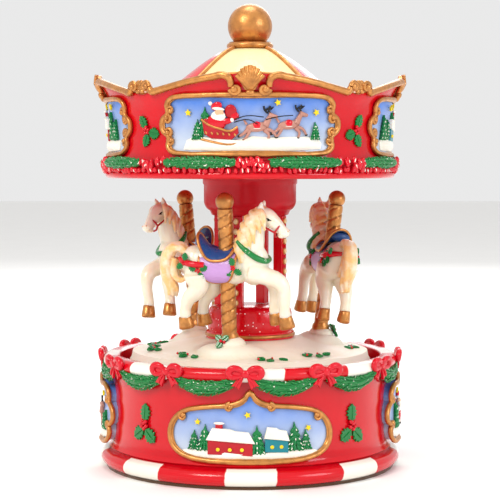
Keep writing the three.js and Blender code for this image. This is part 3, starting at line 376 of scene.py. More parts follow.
@as_material
def snow_dusted(tree, shader, colour, white, amount=0.62, size=0.9):
    """Garland green, stippled with a nearly dry white brush so that raised tips catch the white."""
    stipple = remap(tree, noise(tree, size, 2.0), amount, amount + 0.05)
    dark = tone(colour, 0.35)
    # Painted shade: the green darkens toward 0.35 of its brightness in the hollows.
    base = blend(tree, hollows(tree, 0.42, 0.52), list(colour), dark)
    set_shader(shader, Base_Color=blend(tree, stipple, base, list(white)), Roughness=0.28, Coat_Weight=0.3,
               Coat_Roughness=0.08, Specular_IOR_Level=0.3)
    bump(tree, shader, noise(tree, 0.6, 4.0), 0.1)


@as_material
def worked_metal(tree, shader, colour, roughness, size):
    """Machined movement parts: fine turning and brushing lines."""
    lines = node(tree, "ShaderNodeTexWave", {
        "Vector": place(tree), "Scale": per_mm(size), "Distortion": 3.0, "Detail": 3.0}).outputs["Fac"]
    dark = tone(colour, 0.8)
    set_shader(shader, Base_Color=blend(tree, maths(tree, "MULTIPLY", lines, 0.4), list(colour), dark),
               Roughness=remap(tree, lines, 0.0, 1.0, roughness * 0.8, roughness * 1.2), Metallic=1.0)
    bump(tree, shader, lines, 0.01)


@as_material
def felt_cloth(tree, shader, colour):
    """Pressed wool felt: fine random fibres and a soft nap."""
    fibres = noise(tree, 0.35, 6.0, 0.7)
    dark = tone(colour, 0.6)
    set_shader(shader, Base_Color=blend(tree, fibres, list(colour), dark), Roughness=0.95, Sheen_Weight=0.4,
               Sheen_Roughness=0.5)
    bump(tree, shader, fibres, 0.2)


@as_material
def moulded_plastic(tree, shader, colour):
    """Injection-moulded cover with a fine spark-eroded texture."""
    grain = noise(tree, 0.4, 3.0)
    set_shader(shader, Base_Color=blend(tree, grain, list(colour), tone(colour, 1.6)), Roughness=0.55)
    bump(tree, shader, grain, 0.04)


def paints():
    """Every finish by its short name."""
    c = colours()
    made = {
        "candy": candy_resin("candy_striped_enamel", c.red, c.white),
        "red": resin_paint("red_enamel_on_resin", c.red),
        "shaded_red": resin_paint("matt_red_on_resin", c.shaded_red, 0.4, 0.1),
        "glitter": glitter_resin("red_glitter_enamel", c.red),
        "ribbon": resin_paint("ribbon_red_enamel", linear("#d20a22"), 0.16, 0.4, grain=0.02),
        "cream": resin_paint("cream_paint_on_resin", c.cream, 0.4, 0.2, 0.88, 0.03),
        "white": resin_paint("white_paint_on_resin", c.white, 0.4, 0.2, 0.92),
        "snow": snow_resin("snow_white_on_grainy_resin", c.snow, 0.1),
        "picture_snow": snow_resin("picture_snow_paint", linear("#f2efe6")),
        "gold": gold_paint("antique_gold_paint", c.gold, c.bronze),
        "green": resin_paint("holly_green_enamel", c.green, 0.25, 0.5, 0.6),
        "garland": snow_dusted("snow_dusted_garland", c.green, c.white, 0.66),
        "tree": resin_paint("tree_green_enamel", linear("#0a7a3e"), 0.3, 0.3, 0.55),
        "ivory": ivory_resin("ivory_polyresin", c.ivory),
        "peach": washed_hair("peach_wash_on_resin", c.peach, c.ivory),
        "saddle": resin_paint("blue_glitter_enamel", c.saddle, 0.3, 0.4, 0.6, 0.04),
        "lilac": resin_paint("lilac_pearl_paint", c.lilac, 0.35, 0.3, 0.8, 0.05),
        "base_sky": painted_sky("base_painted_sky", c.sky, c.pale_sky, FOOT_TOP + 3, FOOT_TOP + 20),
        "canopy_sky": painted_sky("canopy_painted_sky", c.sky, c.pale_sky, FASCIA_LOW + 6, FASCIA_LOW + 19),
        "yellow": resin_paint("yellow_acrylic", linear("#f2d21c"), 0.4, 0.2),
        "black": resin_paint("black_acrylic", linear("#14110f"), 0.35, 0.3),
        "brick": resin_paint("house_red_acrylic", linear("#b3121f"), 0.35, 0.3),
        "teal": resin_paint("house_teal_acrylic", linear("#15808c"), 0.35, 0.3),
        "deer": resin_paint("deer_brown_acrylic", linear("#b98475"), 0.4, 0.2),
        "skin": resin_paint("face_pink_acrylic", linear("#e9b48e"), 0.4, 0.2),
    }
    paints_by_name.update(made)


paints_by_name = {}


# ---- Modelling helpers: everything is shaped in millimetres, then brought to metres ----


def deselect():
    if bpy.context.object and bpy.context.object.mode != "OBJECT":
        bpy.ops.object.mode_set(mode="OBJECT")
    bpy.ops.object.select_all(action="DESELECT")


def make_active(*objects):
    deselect()
    for obj in objects:
        obj.select_set(True)
    bpy.context.view_layer.objects.active = objects[0]


def painted(obj, finish):
    obj.data.materials.clear()
    obj.data.materials.append(paints_by_name[finish])
    return obj


def ball(finish, centre, radii, turn=(0, 0, 0), segments=14, rings=8):
    """An ellipsoid of paint or clay; turn is in degrees."""
    deselect()
    bpy.ops.mesh.primitive_uv_sphere_add(segments=segments, ring_count=rings, radius=1.0)
    obj = bpy.context.object
    spin = Matrix.Rotation(math.radians(turn[2]), 4, "Z") @ Matrix.Rotation(math.radians(turn[1]), 4, "Y") \
        @ Matrix.Rotation(math.radians(turn[0]), 4, "X")
    obj.data.transform(Matrix.Translation(centre) @ spin @ Matrix.Diagonal((*radii, 1.0)))
    return painted(obj, finish)


def bead(finish, centre, radii, turn=(0, 0, 0)):
    return ball(finish, centre, radii, turn, 10, 6)


def dot(finish, centre, radii, turn=(0, 0, 0)):
    return ball(finish, centre, radii, turn, 8, 6)


def curve_mesh(curve, name):
    deselect()
    obj = bpy.data.objects.new(name, curve)
    bpy.context.collection.objects.link(obj)
    make_active(obj)
    bpy.ops.object.convert(target="MESH")
    return bpy.context.object


def strand(finish, points, radius, tapers=None, sides=3, closed=False, smooth=True, steps=4):
    """A rounded cord through points; tapers scale its radius point by point."""
    curve = bpy.data.curves.new("strand", "CURVE")
    curve.dimensions = "3D"
    curve.bevel_depth = radius
    curve.bevel_resolution = sides
    curve.use_fill_caps = True
    curve.resolution_u = steps
    spline = curve.splines.new("BEZIER" if smooth else "POLY")
    target = spline.bezier_points if smooth else spline.points
    target.add(len(points) - 1)
    for at, point in enumerate(points):
        place_at = (point[0], point[1], point[2] if len(point) > 2 else 0.0)
        if smooth:
            target[at].co = place_at
            target[at].handle_left_type = target[at].handle_right_type = "AUTO"
        else:
            target[at].co = (*place_at, 1.0)
        target[at].radius = tapers[at] if tapers else 1.0
    spline.use_cyclic_u = closed
    return painted(curve_mesh(curve, "strand"), finish)


def plate(finish, outline, bottom, top, edge=0.15):
    """A flat cut-out with rounded edges, from bottom to top."""
    curve = bpy.data.curves.new("plate", "CURVE")
    curve.dimensions = "2D"
    curve.fill_mode = "BOTH"
    curve.extrude = (top - bottom) / 2 - edge
    curve.bevel_depth = edge
    curve.bevel_resolution = 1
    curve.offset = -edge
    spline = curve.splines.new("POLY")
    spline.points.add(len(outline) - 1)
    for at, (x, y) in enumerate(outline):
        spline.points[at].co = (x, y, 0.0, 1.0)
    spline.use_cyclic_u = True
    obj = curve_mesh(curve, "plate")
    obj.data.transform(Matrix.Translation((0, 0, (bottom + top) / 2)))
    return painted(obj, finish)


def turned(finish, profile, around=120, capped=True, closed=False):
    """Spin-like shape: a circle extruded and resized through a profile of (radius, height)."""
    deselect()
    radius, height = profile[0]
    bpy.ops.mesh.primitive_circle_add(
        vertices=around, radius=1.0, fill_type="NGON" if capped and not closed else "NOTHING")
    obj = bpy.context.object
    obj.data.transform(Matrix.Translation((0, 0, height)) @ Matrix.Diagonal((radius, radius, 1, 1)))
    bpy.ops.object.mode_set(mode="EDIT")
    bpy.ops.mesh.select_all(action="SELECT")
    for next_radius, next_height in profile[1:]:
        bpy.ops.mesh.extrude_region_move(TRANSFORM_OT_translate={"value": (0, 0, next_height - height)})
        share = next_radius / radius
        bpy.ops.transform.resize(value=(share, share, 1), center_override=(0, 0, next_height))
        radius, height = next_radius, next_height
    if closed:
        bpy.ops.mesh.select_all(action="SELECT")
        bpy.ops.mesh.remove_doubles(threshold=0.001)
    bpy.ops.mesh.select_all(action="SELECT")
    bpy.ops.mesh.normals_make_consistent(inside=False)
    bpy.ops.object.mode_set(mode="OBJECT")
    return painted(obj, finish)


def arc_profile(radius, height, bend, start, end, steps):
    """Points of an arc of a profile, its angles in degrees."""
    angles = [math.radians(start + (end - start) * step / steps) for step in range(steps + 1)]
    return [(radius + bend * math.cos(a), height + bend * math.sin(a)) for a in angles]


def ring_place(vertex, at, around):
    """Which ring of a turned shape a vertex is on, and its step round that ring."""
    step = (math.atan2(vertex.co.y, vertex.co.x) - math.pi / 2) * around / math.tau
    return at // around, round(step) % around


def outward(obj):
    """Point the normals of a closed shape outward."""
    make_active(obj)
    bpy.ops.object.mode_set(mode="EDIT")
    bpy.ops.mesh.select_all(action="SELECT")
    bpy.ops.mesh.remove_doubles(threshold=0.001)
    bpy.ops.mesh.normals_make_consistent(inside=False)
    bpy.ops.object.mode_set(mode="OBJECT")
    return obj


def panel(finish, outline, height, dome=0.0, shares=(1.0, 0.86, 0.7, 0.52, 0.34, 0.16)):
    """A thin plate over a star-shaped outline, with rings of points so that it can follow a curved wall."""
    around = len(outline)
    middle_x = sum(p[0] for p in outline) / around
    middle_y = sum(p[1] for p in outline) / around
    rings = [(1.0, height - 1.0)] + [(share, height + dome * (1 - share ** 2)) for share in shares]
    obj = turned(finish, rings, around)
    for at, vertex in enumerate(obj.data.vertices):
        ring, step = ring_place(vertex, at, around)
        share = rings[ring][0]
        vertex.co.x = middle_x + (outline[step][0] - middle_x) * share
        vertex.co.y = middle_y + (outline[step][1] - middle_y) * share
    return outward(obj)


def waved(finish, around, rings):
    """A closed ring-shaped skin: each ring gives radius and height at an angle."""
    obj = turned(finish, [(40.0 + at, float(at)) for at in range(len(rings))], around, capped=False)
    for at, vertex in enumerate(obj.data.vertices):
        angle = math.atan2(vertex.co.y, vertex.co.x)
        radius, height = rings[at // around](angle)
        vertex.co = (radius * math.cos(angle), radius * math.sin(angle), height)
    return outward(obj)


def joined(name, parts):
    """Join pieces into one object; each finish keeps one slot."""
    make_active(*parts)
    if len(parts) > 1:
        bpy.ops.object.join()
    obj = bpy.context.object
    obj.name = name
    obj.data.name = name
    return obj


def moved(obj, shape):
    """Move every vertex by a function of its place."""
    for vertex in obj.data.vertices:
        vertex.co = shape(vertex.co)
    return obj


def copied(obj, matrix=Matrix()):
    """A copy with its own mesh, placed by a matrix."""
    twin = obj.copy()
    twin.data = obj.data.copy()
    bpy.context.collection.objects.link(twin)
    twin.data.transform(matrix)
    return twin


def finished(obj, name, body, slot, *nodes, smooth=50):
    """Bring a piece to metres, shade it, and hang it on its body."""
    obj.name = name
    obj.data.name = name
    obj.data.transform(Matrix.Scale(MM, 4))
    make_active(obj)
    bpy.ops.object.shade_smooth_by_angle(angle=math.radians(smooth))
    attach(obj, body)
    if nodes:
        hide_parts(*nodes)
    return obj


def apply_modifier(obj, kind, **settings):
    make_active(obj)
    modifier = obj.modifiers.new(kind.lower(), kind)
    for key, value in settings.items():
        setattr(modifier, key, value)
    bpy.ops.object.modifier_apply(modifier=modifier.name)


# ---- Walls that flat ornament is laid on ----


def wall_radius(height):
    """Outside of the base wall at a height: it is drawn in slightly at its waist."""
    middle = (FOOT_TOP + RIM_MIDDLE) / 2
    share = (height - FOOT_TOP) / (middle - FOOT_TOP)
    return WALL - 0.7 * min(1.0, max(0.0, share if share < 1 else 1.6 - 0.6 * share))


def shell_share(angle):
    return math.cos(2 * angle) ** 2


def crest_height(angle):
    return DIP_TOP + (CREST - 1.6) * shell_share(angle) ** 0.62


def fascia_radius(angle, height):
    """Outside of the canopy's fascia: a waist, then a flare that is widest at the four shells."""
    share = min(1.0, max(0.0, (height - FASCIA_LOW) / (crest_height(angle) - FASCIA_LOW)))
    waist = CANOPY - 2.0
    flare = CANOPY + 2.0 * shell_share(angle) - waist
    marks = [(0.0, 1.0), (0.25, 0.0), (0.55, 0.12 * flare), (0.82, 0.5 * flare), (0.965, flare), (1.0, flare)]
    for (start, first), (end, last) in zip(marks, marks[1:]):
        if share <= end:
            ease = (share - start) / (end - start)
            return waist + first + (last - first) * ease
    return waist + flare


def bent(obj, start, wall, radius_at):
    """Bend flat ornament, x along the wall, y up and z out, onto a round wall. start is in radians."""
    def shape(point):
        turn = start + point.x / wall
        out = radius_at(turn, point.y) + point.z
        return Vector((out * math.cos(turn), out * math.sin(turn), point.y))
    return moved(obj, shape)


def lay_on_base(obj, angle):
    return bent(obj, math.radians(angle), WALL, lambda turn, height: wall_radius(height))


def lay_on_canopy(obj, angle):
    return bent(obj, math.radians(angle), CANOPY, fascia_radius)


def lay_round(obj, start):
    return bent(obj, start, CANOPY, lambda turn, height: CANOPY)


QUARTERS = (0, 90, 180, 270)


# ---- Base ----


def scaled(outline, amount):
    """An outline drawn in by an amount toward its middle, in millimetres."""
    middle_x = sum(p[0] for p in outline) / len(outline)
    middle_y = sum(p[1] for p in outline) / len(outline)
    inner = []
    for x, y in outline:
        away = Vector((x - middle_x, y - middle_y))
        away -= away.normalized() * amount
        inner.append((middle_x + away.x, middle_y + away.y))
    return inner


def moulding(outline, height, thickness):
    """A half-round gold frame with a fine inner bead."""
    outer = strand("gold", [(x, y, height) for x, y in outline], thickness / 2, closed=True, sides=3, steps=2)
    inner = strand("gold", [(x, y, height - 0.1) for x, y in scaled(outline, thickness * 0.55)],
                   thickness * 0.2, closed=True, sides=2, steps=2)
    return [outer, inner]


def curl(finish, x, y, height, size, turns, start, thickness, side=1):
    """A small scroll that winds inward, starting at an angle in degrees."""
    points = []
    tapers = []
    steps = 12
    for step in range(steps + 1):
        share = step / steps
        angle = math.radians(start) + side * math.tau * turns * share
        radius = size * (1 - 0.72 * share)
        points.append((x + radius * math.cos(angle), y + radius * math.sin(angle), height))
        tapers.append(1.0 - 0.35 * share)
    return [strand(finish, points, thickness, tapers, sides=2, steps=2),
            bead(finish, (*points[-1][:2], height), (thickness * 1.5,) * 3)]


def star(x, y, height, size, turn=0.0):
    outline = []
    for step in range(10):
        radius = size if step % 2 == 0 else size * 0.5
        angle = math.pi / 2 + turn + math.pi * step / 5
        outline.append((x + radius * math.cos(angle), y + radius * math.sin(angle)))
    return plate("yellow", outline, height - 0.2, height + 0.5, 0.1)


def fir(x, foot, height, out, seed=0):
    """A fir in relief: overlapping tiers of drooping boughs, a few tipped with snow."""
    picker = random.Random(seed)
    parts = [plate("tree", [(x - height * 0.27, foot), (x + height * 0.27, foot), (x, foot + height)],
                   out - 0.6,
                   out + 0.35)]
    tiers = 5
    for tier in range(tiers):
        share = tier / tiers
        width = height * 0.31 * (1 - share * 0.86)
        level = foot + height * (0.1 + 0.82 * share)
        for bough in range(5):
            lean = (bough - 2) / 2 + picker.uniform(-0.08, 0.08)
            parts.append(ball("tree", (x + lean * width * 0.74, level - abs(lean) * height * 0.035,
                                       out + 0.5 - 0.2 * abs(lean)),
                              (height * 0.058, height * 0.13, 0.5), (0, 0, lean * 44), 8, 6))
            if picker.random() < 0.3:
                parts.append(ball("white", (x + lean * width * 0.8, level - height * 0.03,
                                            out + 0.95 - 0.2 * abs(lean)),
                                  (height * 0.02, height * 0.05, 0.12), (0, 0, lean * 44), 6, 4))
    return parts


def cottage(x, foot, width, height, out, wall, windows, chimney):
    """A long snow-roofed house in relief, with lit windows."""
    eaves = foot + height * 0.48
    ridge = foot + height
    parts = [plate(wall, [(x - width / 2, foot), (x + width / 2, foot - 0.3), (x + width / 2, eaves),
                          (x - width / 2, eaves + 0.4)], out - 0.3, out + 1.0)]
    roof = [(x - width * 0.54, eaves + 0.5), (x - width * 0.4, ridge), (x, ridge - 0.3),
            (x + width * 0.12, ridge - 0.9),
            (x + width * 0.42, ridge - 1.3), (x + width * 0.56, eaves - 0.5), (x + width * 0.2, eaves - 0.1)]
    parts.append(plate("picture_snow", roof, out - 0.2, out + 1.45, 0.3))
    if chimney:
        parts.append(plate(wall, [(x - width * 0.33, ridge - 0.5), (x - width * 0.17, ridge - 0.5),
                                  (x - width * 0.17, ridge + 1.2), (x - width * 0.33, ridge + 1.2)], out,
                                  out + 1.0))
        parts.append(bead("picture_snow", (x - width * 0.25, ridge + 1.5, out + 0.6),
                          (width * 0.13, 0.5, 0.7)))
    for at in range(windows):
        spread = (at + 0.5) / windows - 0.5
        parts.append(bead("yellow", (x + spread * width * 0.8, foot + height * 0.2, out + 1.0),
                          (0.62, 0.62, 0.25)))
    return parts


def reindeer(x, y, out, s):
    """A small running reindeer in relief, facing +x, with a saddle cloth and dark antlers."""

    def on(along, up, lift=0.0):
        return x + along * s, y + up * s, out + lift

    parts = [
        ball("deer", (x, y, out), (2.6 * s, 1.05 * s, 0.8), (0, 0, 6), 12, 8),
        strand("deer", [on(1.7, 0.3), on(2.7, 2.2, 0.2)], 0.62 * s, [1.3, 0.8]),
        strand("deer", [on(2.4, 2.5, 0.2), on(4.3, 2.1, 0.2)], 0.6 * s,
               [1.1, 0.6]),
        strand("deer", [on(-2.3, 0.5), on(-3.0, 1.6)], 0.3 * s, [1, 0.6]),
    ]
    for start, knee, hoof in (((1.9, -0.4), (3.4, -1.0), (4.2, -2.2)),
                              ((1.5, -0.6), (2.5, -1.7), (2.2, -2.9)),
                              ((-1.9, -0.4), (-3.0, -1.4), (-4.0, -2.0)),
                              ((-1.6, -0.6), (-2.2, -1.9), (-3.0, -2.8))):
        parts.append(strand("deer", [on(*at) for at in (start, knee, hoof)], 0.36 * s,
                            [1.3, 0.9, 0.7], sides=2))
        parts.append(dot("black", on(*hoof), (0.36 * s, 0.3 * s, 0.4)))
    for side in (0, 1):
        root = (x + (2.2 + 0.5 * side) * s, y + 2.9 * s, out + 0.3 * side)
        tip = (root[0] - (0.9 - 0.9 * side) * s, root[1] + 1.5 * s, out + 0.2)
        parts.append(strand("black", [root, ((root[0] + tip[0]) / 2 - 0.3 * s, root[1] + 0.8 * s, out + 0.3),
                                      tip],
                            0.22 * s, sides=2))
        parts.append(strand("black", [((root[0] + tip[0]) / 2, root[1] + 0.7 * s, out + 0.3),
                                      (root[0] + 0.7 * s, root[1] + 1.3 * s, out + 0.3)], 0.18 * s, sides=2))
    parts.append(bead("ribbon", on(-0.1, 0.25, 0.35), (1.0 * s, 0.95 * s, 0.62)))
    parts.append(dot("white", on(-0.1, -0.35, 0.55), (0.95 * s, 0.16, 0.5)))
    return parts


def sleigh(x, y, out, s):
    """A loaded sleigh in relief with a plain, bearded, red-coated driver of a generic kind."""

    def on(along, up, lift=0.0):
        return x + along * s, y + up * s, out + lift

    parts = [
        plate("brick", [on(-4.2, 2.6)[:2], on(-3.7, -0.6)[:2], on(-2, -1.6)[:2],
                        on(2.6, -1.9)[:2], on(4.2, -0.4)[:2], on(4.0, 1.0)[:2],
                        on(2.2, 0.2)[:2], on(-1.0, 0.9)[:2], on(-3.2, 2.9)[:2]],
              out - 0.3, out + 1.1, 0.25),
        strand("gold", [on(-4.3, 2.7, 0.9), on(-2.6, 1.5, 1.0),
                        (x, y + 0.6 * s, out + 1.1), on(2.4, 0.1, 1.0),
                        on(4.0, 1.0, 0.8)], 0.3 * s, sides=2),
        strand("gold", [on(-4.6, -1.7, 0.4), on(-1.5, -2.4, 0.6),
                        on(2.6, -2.9, 0.6), on(4.4, -2.3, 0.4)], 0.26 * s, sides=2),
        ball("ribbon", on(-0.9, 2.0, 0.5), (2.3 * s, 1.9 * s, 1.0)),
        ball("ribbon", on(1.4, 2.2, 0.8), (1.5 * s, 0.7 * s, 0.6), (0, 0, 12)),
        dot("white", on(2.7, 2.5, 0.9), (0.5 * s, 0.5 * s, 0.4)),
        ball("white", on(-0.4, 3.3, 0.9), (1.7 * s, 1.35 * s, 0.7), segments=12, rings=8),
        ball("skin", on(-0.1, 4.1, 1.15), (1.05 * s, 0.9 * s, 0.6), segments=12, rings=8),
        dot("white", on(0.1, 3.4, 1.45), (0.9 * s, 0.5 * s, 0.3)),
        ball("white", on(-0.3, 5.0, 1.0), (1.45 * s, 0.42 * s, 0.6), (0, 0, -8), 10, 6),
        ball("ribbon", on(-0.7, 5.6, 0.7), (1.3 * s, 0.95 * s, 0.6), (0, 0, 20)),
        dot("white", on(-2.1, 6.2, 0.7), (0.5 * s,) * 3),
        ball("brick", on(2.4, 4.4, 0.3), (1.4 * s, 1.6 * s, 0.7)),
        bead("ribbon", on(3.2, 3.4, 0.4), (1.1 * s, 1.0 * s, 0.6)),
    ]
    for at in range(6):
        share = at / 5
        parts.append(ball("gold", on(-3.2 + 6.6 * share, -(0.3 + 0.5 * share), 1.1),
                          (0.24 * s, 0.4 * s, 0.2), (0, 0, 25), 6, 4))
    return parts


def holly_leaf(finish, x, y, height, length, turn):
    """A spiny holly leaf with a raised midrib."""
    outline = []
    points = 5
    for side in (1, -1):
        steps = range(points * 2 + 1) if side == 1 else range(points * 2 - 1, 0, -1)
        for step in steps:
            share = step / (points * 2)
            width = 0.34 * length * math.sin(math.pi * share) ** 0.7
            if step % 2 == 0:
                width *= 1.25
            else:
                width *= 0.78
            outline.append((share * length, side * width))
    spun = Matrix.Rotation(math.radians(turn), 4, "Z")
    parts = [plate(finish, outline, height - 0.25, height + 0.45, 0.12)]
    parts.append(strand(finish, [(0, 0, height + 0.4), (length * 0.5, 0, height + 0.62),
                                 (length * 0.95, 0, height + 0.4)],
                        0.2, sides=2, steps=2))
    for part in parts:
        part.data.transform(Matrix.Translation((x, y, 0)) @ spun)
    return parts


def holly_sprig(x, y, height, size):
    """Three leaves and a cluster of berries."""
    parts = []
    parts += holly_leaf("green", x, y + 0.8 * size, height, 4.6 * size, 88)
    parts += holly_leaf("green", x - 0.3 * size, y - 0.9 * size, height, 4.4 * size, 214)
    parts += holly_leaf("green", x + 0.3 * size, y - 0.9 * size, height, 4.6 * size, -42)
    for bx, by in ((0, 0.5), (-0.8, -0.3), (0.8, -0.2), (0.1, -0.8), (0.55, 0.9), (-0.6, 1.0)):
        parts.append(bead("ribbon", (x + bx * size, y + by * size, height + 0.5), (0.55 * size,) * 3))
    return parts


def bow(x, y, height, s):
    """A ribbon bow: two pinched loops, a knot and two notched tails."""

    def on(along, up, lift=0.0):
        return x + along * s, y + up * s, height + lift

    parts = []
    for side in (-1, 1):
        loop = [(x + side * 0.2 * s, y, height + 0.4), on(side * 1.3, 1.1, 0.9),
                on(side * 2.6, 0.9, 0.9), on(side * 2.7, -0.3, 0.7),
                on(side * 1.4, -0.5, 0.6), (x + side * 0.2 * s, y, height + 0.4)]
        parts.append(strand("ribbon", loop, 0.55 * s, [0.7, 1.1, 1.2, 1.1, 0.9, 0.7], sides=2))
        parts.append(ball("ribbon", on(side * 1.5, 0.25, 0.3), (1.4 * s, 0.9 * s, 0.8),
                          (0, 0, side * 12)))
        tail = [on(side * 0.1, -0.2)[:2], on(side * 0.9, -0.1)[:2], on(side * 2.5, -2.3)[:2],
                on(side * 1.7, -2.2)[:2], on(side * 1.1, -3.0)[:2]]
        parts.append(plate("ribbon", tail if side == 1 else tail[::-1], height - 0.4, height + 0.75, 0.2))
        parts.append(strand("ribbon", [on(side * 0.3, -0.3, 0.7),
                                       on(side * 1.3, -1.5, 0.9),
                                       on(side * 1.7, -2.3, 0.7)], 0.22 * s, sides=2))
    parts.append(ball("ribbon", (x, y + 0.1 * s, height + 1.0), (0.75 * s, 0.8 * s, 0.7)))
    return parts


def leafy_swag(start, end, sag, height, thickness, seed):
    """A hanging garland of overlapping leaves, dusted with snow, between two points along x."""
    picker = random.Random(seed)
    count = 34
    parts = []
    x0, y0 = start
    x1, y1 = end

    def middle(share):
        return x0 + (x1 - x0) * share, y0 + (y1 - y0) * share - sag * math.sin(math.pi * share)

    def fullness(share):
        return 0.35 + 0.65 * math.sin(math.pi * (0.06 + 0.88 * share)) ** 0.8

    core = [(*middle(at / 8), height) for at in range(9)]
    parts.append(strand("garland", core, thickness * 0.4, [fullness(at / 8) for at in range(9)], sides=3,
                        steps=3))
    for at in range(count):
        share = (at + 0.5) / count
        x, y = middle(share)
        body = thickness * 0.44 * fullness(share)
        for row in range(5):
            turn = math.radians(-78 + 39 * row + picker.uniform(-9, 9))
            lean = -34 * math.sin(turn) + picker.uniform(-24, 24)
            parts.append(ball("garland", (x + picker.uniform(-0.35, 0.35), y + body * math.sin(turn) * 1.02,
                                          height + body * math.cos(turn) * 0.98),
                              (0.95, 0.36, 0.3), (math.degrees(-turn), picker.uniform(-26, 10), lean), 6, 4))
    return parts


def mirrored(half):
    """A closed outline from its right half, listed from the top middle to the foot middle."""
    left = [(-x, y) for x, y in reversed(half[1:-1])]
    return half + left


RELIEF = 0.9
BOSS_RISE = 3.0
BOSS_HALF = 22.0
BASE_FRAME = mirrored([
    (0, 31.4), (1.4, 29.6), (3.4, 28.1), (6.2, 27.2), (11.5, 26.6), (17.8, 25.8), (22.2, 24.6), (25.2, 22.4),
    (26.8, 19.8), (27.2, 17.2), (26.5, 14.2), (24.4, 11.8), (21.4, 10.3), (16.5, 9.3), (9, 8.9), (0, 8.8)])
SIDE_FRAME = mirrored([
    (0, 31.2), (2.0, 29.4), (5.2, 28.6), (9.2, 29.0), (12.6, 27.9), (14.2, 25.6), (13.8, 23.2), (15.8, 21.8),
    (17.4, 19.2), (16.8, 16.6), (14.6, 15.2), (15.4, 13.2), (14.2, 10.6), (10.4, 9.2), (5.2, 9.5), (0, 8.6)])
CANOPY_FRAME = mirrored([
    (0, 126.5), (9, 126.5), (18, 126.3), (24.4, 126.0), (27.2, 125.1), (28.5, 123.3), (28.1, 121.5),
    (28.6, 120.3),
    (30.3, 119.2), (31.1, 117.2), (30.4, 115.0), (28.6, 113.7), (28.1, 112.4), (28.6, 110.8), (27.4, 108.9),
    (24.4, 108.0), (14, 107.7), (0, 107.6)])


def picture_frame(outline, curls, height=0.9):
    """The raised gold border of a picture with its curls."""
    thick = sizes().moulding / MM
    parts = moulding(outline, height, thick)
    for x, y, start, side in curls:
        for flip in (1, -1):
            begin = start if flip == 1 else 180 - start
            parts += curl("gold", flip * x, y, height + 0.25, 1.5, 0.85, begin, thick * 0.38, side * flip)
    return parts


def frames_and_pictures(name, frame_outline, finish, curls, picture, lay, angle):
    """One cartouche: the sky plate, the picture in relief, and the gold border, bent onto the wall."""
    parts = [panel(finish, scaled(frame_outline, 0.4), 0.35)]
    parts += picture
    parts += picture_frame(frame_outline, curls)
    return lay(joined(name, parts), angle)


def snow_ground(points, foot, height, bulge=0.9):
    """Painted snow in relief: its top edge through points, its foot level or following the frame."""
    outline = list(points) + list(reversed(foot))
    shares = (1.0, 0.9, 0.76, 0.58, 0.4, 0.2)
    return panel("picture_snow", outline, height, bulge, shares)


def village():
    """Two snow-roofed houses among firs under three stars."""
    out = RELIEF
    top = [(-22.6, 12.0), (-19, 12.9), (-14, 12.3), (-8, 11.8), (0, 11.2), (8, 12.4), (14, 12.7),
           (19.5, 12.8),
           (22.8, 11.8)]
    foot = [(-21, 10.9), (-16.4, 9.9), (-9, 9.5), (0, 9.4), (9, 9.5), (16.4, 9.9), (21, 10.9)]
    parts = [snow_ground(top, foot, 0.7)]
    parts += cottage(-6.3, 11.2, 14.2, 8.6, out, "brick", 3, True)
    parts += cottage(8.4, 12.2, 7.4, 8.0, out, "teal", 2, False)
    for x, y, height, seed in ((-18.3, 12.6, 6.2, 1), (-14.6, 12.4, 8.4, 2), (2.2, 11.4, 9.4, 3),
                               (14.4, 12.4, 9.2, 4),
                               (18.2, 12.6, 6.4, 5)):
        parts += fir(x, y, height, out, seed)
    parts += [star(-17.2, 21.4, 0.8, 1.05), star(-0.8, 24.0, 0.8, 1.15, 0.3),
              star(19.2, 19.4, 0.8, 1.05, 0.5)]
    return parts


SIDE_FOOT = [(-12.6, 11.4), (-8.6, 10.2), (0, 9.7), (8.6, 10.2), (12.6, 11.4)]


def grazing_deer():
    """A reindeer beside firs in the snow."""
    out = RELIEF
    top = [(-13.4, 13.6), (-8, 14.4), (0, 13.4), (7, 14.2), (13.2, 13.4)]
    parts = [snow_ground(top, SIDE_FOOT, 0.7)]
    parts += reindeer(1.5, 18.0, out, 1.35)
    parts += fir(-9.2, 14.0, 8.8, out, 7)
    parts += fir(10.6, 13.6, 6.4, out, 8)
    parts += [star(-7.4, 26.0, 0.8, 1.0), star(7.6, 25.4, 0.8, 1.0, 0.4)]
    return parts


def present_bearer():
    """A generic red-coated figure with a beard and a sack, beside firs."""
    out = RELIEF
    top = [(-13.4, 13.4), (-8, 14.0), (0, 13.6), (7, 14.4), (13.2, 13.6)]
    parts = [snow_ground(top, SIDE_FOOT, 0.7)]
    parts += [
        ball("ribbon", (0.6, 17.2, out), (2.9, 3.4, 1.3)),
        ball("white", (0.6, 14.6, out + 0.3), (2.9, 0.6, 1.1)),
        ball("black", (-0.4, 13.9, out + 0.2), (1.0, 0.7, 0.9)),
        ball("black", (1.8, 13.9, out + 0.2), (1.0, 0.7, 0.9)),
        ball("brick", (4.2, 19.0, out), (2.3, 2.9, 1.2)),
        ball("skin", (0.2, 21.6, out + 0.6), (1.3, 1.2, 0.8), segments=12, rings=8),
        ball("white", (0.1, 20.4, out + 0.8), (1.6, 1.5, 0.7), segments=12, rings=8),
        ball("white", (0.3, 22.9, out + 0.4), (1.7, 0.5, 0.8), segments=12, rings=8),
        ball("ribbon", (0.9, 23.9, out + 0.2), (1.5, 1.4, 0.8), (0, 0, -20)),
        dot("white", (2.6, 24.4, out + 0.2), (0.6,) * 3),
        ball("ribbon", (-2.2, 18.4, out + 0.4), (1.9, 0.9, 0.8), (0, 0, -28)),
        dot("white", (-3.6, 19.2, out + 0.5), (0.6, 0.8, 0.7)),
    ]
    parts += fir(-8.8, 14.0, 8.6, out, 11)
    parts += fir(10.2, 13.8, 7.4, out, 12)
    parts += [star(-5.6, 26.2, 0.8, 1.0, 0.2), star(7.2, 26.0, 0.8, 1.0)]
    return parts


